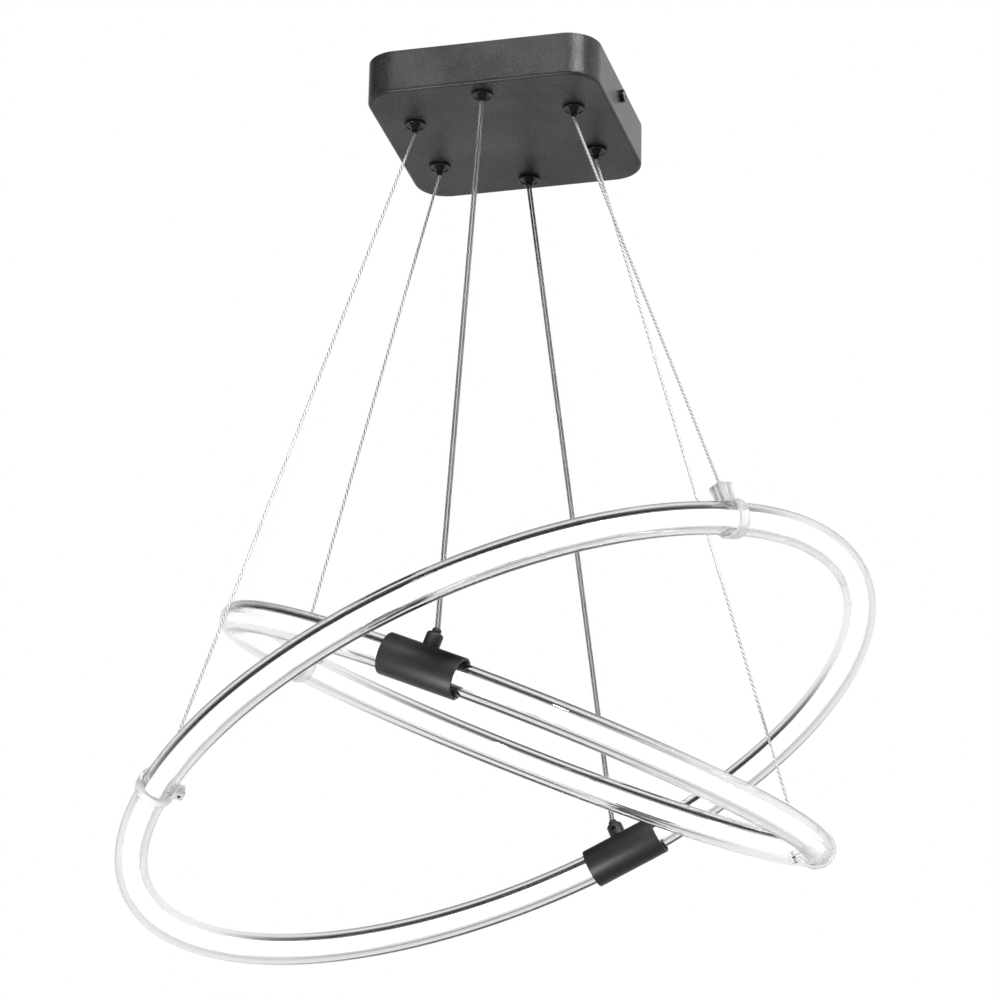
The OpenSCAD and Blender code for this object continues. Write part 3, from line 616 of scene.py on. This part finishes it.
CANOPY_COAT = powder_coat("canopy_coat", dark=0.008, light=0.046, grain=1500.0, rough=0.27, texture=1.0,
                          shine=0.3)
SATIN_BLACK = powder_coat("satin_black", dark=0.014, light=0.024, grain=2200.0, rough=0.46, texture=0.2)
GLOSS_BLACK = powder_coat("gloss_black", dark=0.006, light=0.01, grain=700.0, rough=0.14, texture=0.05)
print("dark finishes:", CANOPY_COAT.name, SATIN_BLACK.name, GLOSS_BLACK.name)

# %% [markdown]
# ## Bright metals and plain plastics
# Nuts, springs, screws and the bracket are bare metal with fine drawn lines;
# the driver, terminal block and leads are plain plastics with a faint mottle.
# Both kinds are one function each, with the colour and grain as values.


# %% Metals and plastics
def bare_metal(name, colour, rough, stretch):
    material, tree, shader = new_material(name, Metallic=1.0, Roughness=rough)
    mapping = add(tree, "ShaderNodeMapping", {"Vector": object_point(tree), "Scale": stretch})
    lines = noise(tree, mapping.outputs[0], 300.0, 3.0)
    tone = ramp(tree, lines, [(0.3, tuple(0.8 * c for c in colour)), (0.7, colour)])
    tree.links.new(tone, shader.inputs["Base Color"])
    bump(tree, shader, lines, 0.2, 0.0001)
    return material


def plastic(name, colour, rough):
    material, tree, shader = new_material(name, Roughness=rough)
    mottle = noise(tree, object_point(tree), 500.0, 4.0)
    tone = ramp(tree, mottle, [(0.3, tuple(0.88 * c for c in colour)), (0.7, colour)])
    tree.links.new(tone, shader.inputs["Base Color"])
    bump(tree, shader, mottle, 0.1, 0.0001)
    return material


ZINC = bare_metal("zinc_plate", (0.66, 0.67, 0.7), 0.32, (0.2, 3.0, 3.0))
SPRING = bare_metal("spring_wire", (0.6, 0.61, 0.63), 0.22, (1, 1, 1))
BRASS = bare_metal("brass", (0.72, 0.52, 0.2), 0.3, (1, 1, 1))
FERRULE = bare_metal("ferrule", (0.86, 0.87, 0.88), 0.45, (1, 1, 0.2))
WHITE_CASE = plastic("white_case", (0.8, 0.8, 0.78), 0.55)
TERMINAL = plastic("terminal_white", (0.82, 0.82, 0.78), 0.35)
LEAD_GREY = plastic("lead_grey", (0.55, 0.55, 0.57), 0.3)
EARTH = plastic("earth_green", (0.3, 0.5, 0.06), 0.35)
FOAM = plastic("foam", (0.06, 0.06, 0.06), 0.9)
BOARD = plastic("board_green", (0.03, 0.2, 0.07), 0.3)
BLACK_MATTE = plastic("black_matte", (0.02, 0.02, 0.02), 0.6)
print("metals and plastics ready")

# %% [markdown]
# ## Dressing the CAD pieces that stay
# The canopy cover and the pieces hidden inside keep their CAD shape and only get
# a finish. One table of node to finish does it.

# %% CAD pieces that stay
STAY = {
    "canopy_cover": CANOPY_COAT, "ceiling_bracket": ZINC, "earth_screw": BRASS,
    "driver_pad": FOAM, "driver_case": WHITE_CASE, "driver_lid": WHITE_CASE, "driver_board": BOARD,
    "terminal_block": TERMINAL, "terminal_screws": ZINC, "mains_lead": LEAD_GREY, "earth_lead": EARTH,
    "large_output_lead": LEAD_GREY, "small_output_lead": LEAD_GREY, "wire_tails": SPRING,
    "large_joiner": BLACK_MATTE, "small_joiner": BLACK_MATTE,
    "large_pigtail": LEAD_GREY, "small_pigtail": LEAD_GREY,
}

for node, material in STAY.items():
    for mesh_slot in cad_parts[node].material_slots:
        mesh_slot.material = material
print(len(STAY), "CAD pieces dressed")

# %% [markdown]
# ## Side screws
# Two thumb screws hold the cover to its bracket. The head is a flat turned
# drum with soft edges and a driver slot.


# %% Side screws
HEAD_R, HEAD_T = 5.0, 3.0
SHANK_R, SHANK_END = 2.0, -7.9
SCREW_Z = -10
DRIVER_SLOT = (12, 1, 1.6)


def cut(obj, cutter_bm):
    mesh = bpy.data.meshes.new("cutter")
    bmesh.ops.scale(cutter_bm, vec=(MM, MM, MM), verts=cutter_bm.verts)
    bmesh.ops.recalc_face_normals(cutter_bm, faces=cutter_bm.faces)
    cutter_bm.to_mesh(mesh)
    cutter_bm.free()
    cutter = bpy.data.objects.new("cutter", mesh)
    bpy.context.scene.collection.objects.link(cutter)
    modifier = obj.modifiers.new("cut", "BOOLEAN")
    modifier.operation, modifier.object, modifier.solver = "DIFFERENCE", cutter, "EXACT"
    depsgraph = bpy.context.evaluated_depsgraph_get()
    result = bpy.data.meshes.new_from_object(obj.evaluated_get(depsgraph))
    obj.modifiers.clear()
    old = obj.data
    obj.data = result
    bpy.data.meshes.remove(old)
    bpy.data.objects.remove(cutter)
    bpy.data.meshes.remove(mesh)
    return obj


def side_screw(side, word):
    place = Matrix.Translation((side * CANOPY_W / 2, 0, SCREW_Z)) @ rotated("Y", 90 * side)
    head = turned([(0, 0.05), (HEAD_R, 0.05), (HEAD_R, HEAD_T), (0, HEAD_T)], bevel=0.5)
    shank = turned([(0, SHANK_END), (SHANK_R, SHANK_END), (SHANK_R, 0.2), (0, 0.2)], bevel=0.3, steps=32)
    join_in(head, shank)
    screw = piece(f"side_screw_{word}", head, GLOSS_BLACK, "canopy", ["side_screws"], place)
    return cut(screw, moved(block(DRIVER_SLOT, (0, 0, HEAD_T)), place))


for side, word in ((-1, "left"), (1, "right")):
    print(word, "side screw at x", round(side_screw(side, word).bound_box[0][0] / MM, 1))

# %% [markdown]
# ## Wire and cord grips
# Each wire leaves the canopy through a grip: a round dished flange with a cone
# under it, and a threaded tube with a nut inside. The two cord grips have the
# same flange with a longer cone. One outline goes up the outside and down the
# bore, and a full spin turns it into a solid, thread ridges and all.

# %% Grips and nuts
FLANGE_R, FLANGE_T = 8.5, 2.4
THREAD_R, THREAD_L, THREAD_PITCH, THREAD_DEPTH = 4.8, 15.0, 1.0, 0.35
LIP_TOP, CHAMBER_TOP, CHAMBER_R = -33.6, -21.6, 3.5
WIRE_BORE, NOSE_BORE, CORD_BORE = 1.2, 2.58, 2.06
NUT_BORE, NUT_R, NUT_T = THREAD_R + 0.1, 7.75, 4.0


def flange_outline(bore, tip, height):
    low = -CANOPY_H - FLANGE_T
    end = low - height
    cone = [(bore + 0.3, end), (tip - 0.35, end), (tip, end + 0.35), (tip + 0.45, low - 0.55 * height),
            (tip + 1.1, low - 0.2 * height), (5.4, low + 0.68)]
    rim = [(7.1, low + 0.7), (7.14, low + 0.35), (7.28, low + 0.1), (7.5, low), (7.9, low), (8.2, low + 0.1),
           (8.42, low + 0.35), (FLANGE_R, low + 0.75)]
    return [(bore, end + 0.5)] + cone + rim + [(FLANGE_R, -CANOPY_H), (THREAD_R, -CANOPY_H)]


def threaded(low, top):
    points = []
    z = low
    while z + THREAD_PITCH <= top:
        points += [(THREAD_R, z), (THREAD_R - THREAD_DEPTH, z + THREAD_PITCH / 2)]
        z += THREAD_PITCH
    return points + [(THREAD_R, z)]


def grip_outline(bore, tip, height, chamber=True):
    top = -CANOPY_H + THREAD_L
    points = flange_outline(bore, tip, height) + threaded(-CANOPY_H + 0.6, top - 0.8)
    points.append((THREAD_R - 0.6, top))
    if not chamber:
        return points + [(bore, top)]
    points += [(WIRE_BORE, top), (WIRE_BORE, CHAMBER_TOP)]
    return points + [(CHAMBER_R, CHAMBER_TOP), (CHAMBER_R, LIP_TOP), (bore, LIP_TOP)]


def make_grip(angle, kind):
    if kind == "wire":
        outline = grip_outline(NOSE_BORE, tip=3.3, height=3.4)
    else:
        outline = grip_outline(CORD_BORE, tip=3.2, height=4.6, chamber=False)
    body = turned(outline, steps=56, closed=True)
    place = exit_place(angle)
    piece(f"{kind}_grip_{angle}", body, GLOSS_BLACK, "canopy", [f"{kind}_grip_bodies"], place)
    nut = turned([(NUT_BORE, 0), (NUT_R, 0), (NUT_R, NUT_T), (NUT_BORE, NUT_T)], steps=6, closed=True)
    soften(nut, 0.35, 2)
    nut_place = exit_place(angle, SHEET_T - CANOPY_H)
    piece(f"grip_nut_{angle}", nut, ZINC, "canopy", ["grip_nuts"], nut_place)


for angle in range(30, 360, 60):
    make_grip(angle, "cord" if angle in CORD_EXITS.values() else "wire")
print("grips at", EXIT_R, "mm from the centre")

# %% [markdown]
# ## Plungers
# Inside each wire grip sits a plunger. Its nose sticks out of the cone, and a
# collar higher up rests on the lip in the grip. Pushed up, it lets the wire
# slide. It is turned like the grip and rides on a body of its own.

# %% Plungers
COLLAR_T = 2.0
PLUNGER_R, PLUNGER_COLLAR_R = 2.5, 3.35
PLUNGER_TOP = LIP_TOP + COLLAR_T


def plunger_outline():
    nose = [(WIRE_BORE, NOSE_TIP), (PLUNGER_R - 0.9, NOSE_TIP), (PLUNGER_R - 0.25, NOSE_TIP + 0.7),
            (PLUNGER_R, NOSE_TIP + 1.8), (PLUNGER_R, LIP_TOP)]
    return nose + [(PLUNGER_COLLAR_R, LIP_TOP), (PLUNGER_COLLAR_R, PLUNGER_TOP), (WIRE_BORE, PLUNGER_TOP)]


def make_plunger(ring, side):
    name = f"plunger_{ring}_{side}"
    nose = turned(plunger_outline(), steps=40, closed=True)
    piece(f"{name}_nose", nose, GLOSS_BLACK, name, [name], exit_place(WIRE_EXITS[ring, side]))


for ring, side in WIRE_EXITS:
    make_plunger(ring, side)
print("noses end", round(-CANOPY_H - NOSE_TIP, 1), "mm below the canopy")

# %% [markdown]
# ## Springs
# A coil spring sits over each plunger inside the grip.

# %% Springs
SPRING_TURNS, SPRING_WIRE, SPRING_R = 5, 0.7, 2.85
STEPS_A_TURN, SPRING_ROOM = 20, 0.02


def make_spring(ring, side):
    name = f"spring_{ring}_{side}"
    low = PLUNGER_TOP + SPRING_ROOM + SPRING_WIRE / 2
    high = CHAMBER_TOP - SPRING_ROOM - SPRING_WIRE / 2
    steps = SPRING_TURNS * STEPS_A_TURN
    bm = bmesh.new()
    made = bmesh.ops.create_circle(bm, segments=8, radius=SPRING_WIRE / 2)["verts"]
    start_place = Matrix.Translation((SPRING_R, 0, low)) @ rotated("X", 90)
    bmesh.ops.transform(bm, matrix=start_place, verts=made)
    start = list(bm.edges)
    rise = (high - low) / steps
    grown = bmesh.ops.spin(bm, geom=list(bm.verts) + start, cent=(0, 0, 0), axis=(0, 0, 1),
                           dvec=(0, 0, rise), angle=math.tau * SPRING_TURNS, steps=steps, use_duplicate=False)
    end = [e for e in grown["geom_last"] if isinstance(e, bmesh.types.BMEdge)]
    bmesh.ops.contextual_create(bm, geom=start)
    bmesh.ops.contextual_create(bm, geom=end)
    place = exit_place(WIRE_EXITS[ring, side])
    coil = piece(f"{name}_coil", bm, SPRING, "canopy", [name], place)
    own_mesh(coil)


for ring, side in WIRE_EXITS:
    make_spring(ring, side)

# %% [markdown]
# ## Connector sleeves
# A straight satin black sleeve covers the joint of each ring. The tube bends
# inside it, so the sleeve is set in by half of the bend's depth, which keeps
# the tube in the middle of its bore. It is a turned tube laid on its side.

# %% Sleeves
SLEEVE_OD, SLEEVE_ID, SLEEVE_L = 31.0, 27.0, 60.0


def sag(name):
    r = RINGS[name]["r"]
    return (r - math.sqrt(r * r - SLEEVE_L ** 2 / 4)) / 2


def make_sleeve(name, body, place):
    half, outer, inner = SLEEVE_L / 2, SLEEVE_OD / 2, SLEEVE_ID / 2
    outline = [(inner, -half), (outer, -half), (outer, half), (inner, half)]
    sleeve = turned(outline, steps=96, closed=True, bevel=0.45)
    lying = place @ rotated("X", 90)
    piece(f"{name}_sleeve_black", sleeve, SATIN_BLACK, body, [f"{name}_sleeve"], lying)


for name in RINGS:
    print(name, "sleeve sits", round(sag(name), 2), "mm inside the tube's circle")

# %% [markdown]
# ## Bosses with their set screws
# A round boss stands on the middle of each sleeve, with a stud that goes down
# through the sleeve and a socket on top. It is turned, and then the rim of its
# foot is laid on the round sleeve vertex by vertex. A set screw goes in from
# the side of the ring's centre, in a hole that a boolean cuts.

# %% Bosses
CORD_HOLE_R, STUD_R, SOCKET_R, SOCKET_DEPTH = 2.1, 3.0, 2.9, 3.0
BOSS_R, BOSS_TOP, BOSS_FOOT, STUD_L = 6.2, 25.2, SLEEVE_OD / 2 - 1.9, 5
SET_SCREW_R, SET_SCREW_Z = 2.0, (SLEEVE_OD / 2 + BOSS_TOP) / 2 - 0.5


def make_boss(name, body, place):
    stud = [(CORD_HOLE_R, BOSS_FOOT - STUD_L), (STUD_R, BOSS_FOOT - STUD_L), (STUD_R, BOSS_FOOT)]
    barrel = [(BOSS_R, BOSS_FOOT), (BOSS_R, BOSS_TOP - 1.8), (BOSS_R - 0.2, BOSS_TOP - 1.3),
              (BOSS_R - 1.2, BOSS_TOP - 0.2), (BOSS_R - 1.6, BOSS_TOP)]
    floor_z = BOSS_TOP - SOCKET_DEPTH
    socket = [(SOCKET_R, BOSS_TOP), (SOCKET_R, floor_z), (CORD_HOLE_R, floor_z)]
    boss = turned(stud + barrel + socket, closed=True)
    for vert in boss.verts:
        if abs(vert.co.z - BOSS_FOOT) < 0.001:
            vert.co.z = math.sqrt((SLEEVE_OD / 2) ** 2 - vert.co.x ** 2) + 0.02
    post = piece(f"{name}_boss_black", boss, SATIN_BLACK, body, [f"{name}_boss"], place)
    side = place @ Matrix.Translation((0, 0, SET_SCREW_Z)) @ rotated("Y", -90)
    hole_r = SET_SCREW_R + 0.02
    cut(post, moved(turned([(0, 0), (hole_r, 0), (hole_r, 8), (0, 8)], steps=32), side))
    recess = [(1.2, 5.6), (1.1, 4.2), (0, 4.2)]
    screw = turned([(0, 2.15), (SET_SCREW_R, 2.15), (SET_SCREW_R, 5.3), (1.7, 5.6)] + recess, steps=24)
    piece(f"{name}_set_screw_black", screw, GLOSS_BLACK, body, [f"{name}_set_screw"], side)


print("set screws", round(SET_SCREW_Z, 2), "mm above the tube's middle")

# %% [markdown]
# ## Cord noses and the whole connector
# The cord enters through a small nose that plugs into the boss. With it each
# connector is complete, and one matrix at the ring's joint places its pieces.

# %% Connectors
NOSE_R, NOSE_TOP = 3.4, 28.2


def make_cord_nose(name, body, place):
    neck_r, neck_top = SOCKET_R - 0.03, BOSS_TOP + 0.05
    neck = [(CORD_HOLE_R, BOSS_TOP - 2.9), (neck_r, BOSS_TOP - 2.9), (neck_r, neck_top)]
    collar = [(NOSE_R, neck_top), (NOSE_R, BOSS_TOP + 1.8), (NOSE_R - 0.5, NOSE_TOP), (2.75, NOSE_TOP)]
    nose = turned(neck + collar + [(CORD_HOLE_R, NOSE_TOP - 2.3)], closed=True)
    soften(nose, 0.15, 2)
    piece(f"{name}_nose_black", nose, SATIN_BLACK, body, [f"{name}_cord_nose"], place)


def make_connector(name):
    place = on_ring(name, RINGS[name]["joint"]) @ Matrix.Translation((-sag(name), 0, 0))
    for make in (make_sleeve, make_boss, make_cord_nose):
        make(name, f"{name}_ring", place)


for name in RINGS:
    make_connector(name)
    print(name, "connector stands", round(NOSE_TOP - SLEEVE_OD / 2, 1), "mm above its sleeve")

# %% [markdown]
# ## The side view of a clip
# A clear clip holds each wire to its tube: a collar that is open on one side,
# an ear that closes it, and a block on top for the wire. Its side view is one
# closed outline, drawn with arcs round the collar and its bore.

# %% Clip outline
COLLAR_R, COLLAR_BORE = 14.8, 12.15
BLOCK_T, BLOCK_TOP = 12.0, 27.0
EAR_ANGLE, EAR_T, EAR_REACH, SLOT = 72.0, 8.0, 20.5, 1.0


def arc(radius, start, end, steps):
    return [(radius * math.cos(math.radians(start + (end - start) * i / steps)),
             radius * math.sin(math.radians(start + (end - start) * i / steps))) for i in range(steps + 1)]


def clip_outline():
    middle = 90 + EAR_ANGLE

    def ear(along, across):
        a = math.radians(middle)
        return (along * math.cos(a) - across * math.sin(a), along * math.sin(a) + across * math.cos(a))

    half_ear = math.degrees(math.asin(EAR_T / 2 / COLLAR_R))
    half_block = math.degrees(math.asin(BLOCK_T / 2 / COLLAR_R))
    half_slot = math.degrees(math.asin(SLOT / 2 / COLLAR_BORE))
    points = [ear(EAR_REACH, SLOT / 2), ear(EAR_REACH, EAR_T / 2)]
    points += arc(COLLAR_R, middle + half_ear, 450 - half_block, 40)
    points += [(BLOCK_T / 2, BLOCK_TOP), (-BLOCK_T / 2, BLOCK_TOP)]
    points += arc(COLLAR_R, 90 + half_block, middle - half_ear, 8)
    points += [ear(EAR_REACH, -EAR_T / 2), ear(EAR_REACH, -SLOT / 2)]
    points += arc(COLLAR_BORE, middle - half_slot, middle + half_slot - 360, 64)
    return points


print("clip outline has", len(clip_outline()), "points")

# %% [markdown]
# ## Clear clips
# The outline is extruded along the tube and its edges are rounded as on a
# moulded piece. The block is then stretched a little wider than the collar.
# Booleans cut the wire's hole and the clamp screw's, and the screw and the
# crimped wire end are turned pieces that show through the clear plastic.

# %% Clips
CLIP_W, BLOCK_W = 9.0, 13.0
WIRE_END_R, WIRE_HOLE_R = 1.57, 1.62
CLAMP_R, CLAMP_HOLE_R, CLAMP_L = 1.3, 1.33, EAR_T + 0.6


def clip_body():
    bm = bmesh.new()
    face = bm.faces.new([bm.verts.new((x, -CLIP_W / 2, z)) for x, z in clip_outline()])
    grown = bmesh.ops.extrude_face_region(bm, geom=[face])["geom"]
    far_side = [v for v in grown if isinstance(v, bmesh.types.BMVert)]
    bmesh.ops.translate(bm, vec=(0, CLIP_W, 0), verts=far_side)
    bmesh.ops.recalc_face_normals(bm, faces=bm.faces)
    soften(bm, 0.7, 3, 40)
    for vert in bm.verts:
        if vert.co.z > COLLAR_R - 0.5 and abs(vert.co.x) < BLOCK_T / 2 + 0.1:
            vert.co.y *= BLOCK_W / CLIP_W
    return bm


def make_clip(name, side):
    body = f"{name}_ring"
    place = on_ring(name, *RINGS[name]["clips"][side])
    ear_place = place @ rotated("Y", -EAR_ANGLE) @ Matrix.Translation((-EAR_T / 2 - 0.4, 0, EAR_REACH - 3.4))
    across = ear_place @ rotated("Y", 90)
    clip = piece(f"{name}_clip_{side}_clear", clip_body(), CLIP_CLEAR, body,
                 [f"{name}_clip_{side}"], place)
    cut(clip, moved(turned([(0, 11), (WIRE_HOLE_R, 11), (WIRE_HOLE_R, 30), (0, 30)], steps=24), place))
    cut(clip, moved(turned([(0, -2), (CLAMP_HOLE_R, -2), (CLAMP_HOLE_R, 12), (0, 12)], steps=20), across))
    recess = [(0, 0.9), (CLAMP_R / 2, 0.9), (0.75, 0)]
    screw = turned(recess + [(CLAMP_R, 0), (CLAMP_R, CLAMP_L), (0, CLAMP_L)], steps=20)
    piece(f"{name}_clamp_screw_{side}", screw, GLOSS_BLACK, body, [f"{name}_clamp_screws"],
          across)
    end = turned([(0, 12.3), (1.2, 12.3), (WIRE_END_R, 12.8), (WIRE_END_R, 25), (1.2, 25.6), (0, 25.6)],
                 steps=24)
    piece(f"{name}_wire_end_{side}", end, FERRULE, body, [f"{name}_wire_ends"], place)
    return place @ Vector((0, 0, BLOCK_TOP - 0.6))


WIRE_ENDS = {(name, side): make_clip(name, side) for name in RINGS for side in ("left", "right")}
print("wires end at", {k: tuple(round(c) for c in v) for k, v in WIRE_ENDS.items()})

# %% [markdown]
# ## Straight runs
# Wires and cords are straight under load. A run's vertices lie only at its
# ends and its middle, so it stays straight while it grows or shrinks with its
# ring. It gets a UV map that counts round it and runs along it in metres, for
# the patterns of twisted strands.


# %% Straight runs that stretch with a ring
def straight_run(name, start, end, outline, material, node):
    axis = end - start
    turn = axis.to_track_quat("Z", "Y").to_matrix().to_4x4()
    bm = bmesh.new()
    loops = []
    for share in (0.0, 0.5, 1.0):
        loops.append([bm.verts.new((x, y, axis.length * share)) for x, y in outline])
    count = len(outline)
    layer = bm.loops.layers.uv.new("along")
    for level in (0, 1):
        near, far = loops[level], loops[level + 1]
        for i in range(count):
            j = (i + 1) % count
            face = bm.faces.new((near[i], near[j], far[j], far[i]))
            corners = ((i, level), (i + 1, level), (i + 1, level + 1), (i, level + 1))
            for loop, (u, v) in zip(face.loops, corners):
                loop[layer].uv = (u / count, v * axis.length / 2 * MM)
    bm.faces.new(list(reversed(loops[0])))
    bm.faces.new(loops[2])
    run = piece(name, bm, material, None, [node], Matrix.Translation(start) @ turn, fix_normals=False)
    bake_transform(run)
    return run


print("straight runs ready")

# %% [markdown]
# ## Steel wires
# The light hangs on four thin twisted steel wires in a clear sheath. Modelled
# strands would be far finer than a pixel, so light and dark bands wind round a
# plain run, with a bump of the same pattern under a clear coat. The dark bands
# are painted shade in the grooves between strands, and the light bands are
# painted highlights on the strands.


# %% Wires
def painted_strand_bands(name, dark, light, pitch):
    material, tree, shader = new_material(name, Roughness=0.35, Coat_Weight=1.0, Coat_Roughness=0.05)
    place = add(tree, "ShaderNodeSeparateXYZ", {"Vector": uv_point(tree)}).outputs
    turns = maths(tree, "MULTIPLY", place["Y"], 1 / pitch)
    strands = maths(tree, "MULTIPLY", place["X"], 3.0)
    cycle = maths(tree, "FRACT", maths(tree, "ADD", turns, strands))
    wave = maths(tree, "PINGPONG", cycle, 0.5)
    # Painted shade and highlight: the dark bands stand for the grooves between strands, the light bands for
    # the highlights on them.
    tree.links.new(ramp(tree, wave, [(0.08, grey(dark)), (0.4, grey(light))]), shader.inputs["Base Color"])
    bump(tree, shader, wave, 0.5, 0.0003)
    return material


WIRE_D = 2.1
WIRE_TWIST_AND_SHADE = painted_strand_bands("wire_twist_and_shade", dark=0.14, light=0.7, pitch=0.0045)
for (ring, side), angle in WIRE_EXITS.items():
    top = exit_place(angle, NOSE_TIP).translation
    run = straight_run(f"wire_{ring}_{side}_run", top, WIRE_ENDS[ring, side], circle_points(WIRE_D / 2, 16),
                       WIRE_TWIST_AND_SHADE, f"wire_{ring}_{side}")
    print(run.name, "is", round((WIRE_ENDS[ring, side] - top).length), "mm long")

# %% [markdown]
# ## Power cords
# Each ring is fed by a clear cord in which two tinned strands show. The
# strands and the clear sheath are separate runs, so light passes between them
# as in the real cord.

# %% Cords
CORD_D, STRAND_R, STRAND_SHIFT = 4.0, 0.65, 0.8
# The tinned strands get the same painted groove shade and painted highlights as the steel wires.
TINNED = painted_strand_bands("tinned_strand_and_shade", dark=0.2, light=0.6, pitch=0.006)
SHEATH = clear_plastic("cord_sheath_clear", (0.9, 0.9, 0.9), wave=0.0, rough=0.0, clarity=1.0)
for ring, angle in CORD_EXITS.items():
    top = exit_place(angle, CORD_TIP).translation
    end = on_ring(ring, RINGS[ring]["joint"]) @ Vector((-sag(ring), 0, NOSE_TOP - 0.1))
    straight_run(f"cord_{ring}_sheath", top, end, circle_points(CORD_D / 2, 28), SHEATH,
                 f"cord_{ring}")
    for strand, shift in (("a", -STRAND_SHIFT), ("b", STRAND_SHIFT)):
        straight_run(f"cord_{ring}_strand_{strand}", top, end, circle_points(STRAND_R, 14, shift), TINNED,
                     f"cord_{ring}")
    print("cord", ring, "is", round((end - top).length), "mm long")
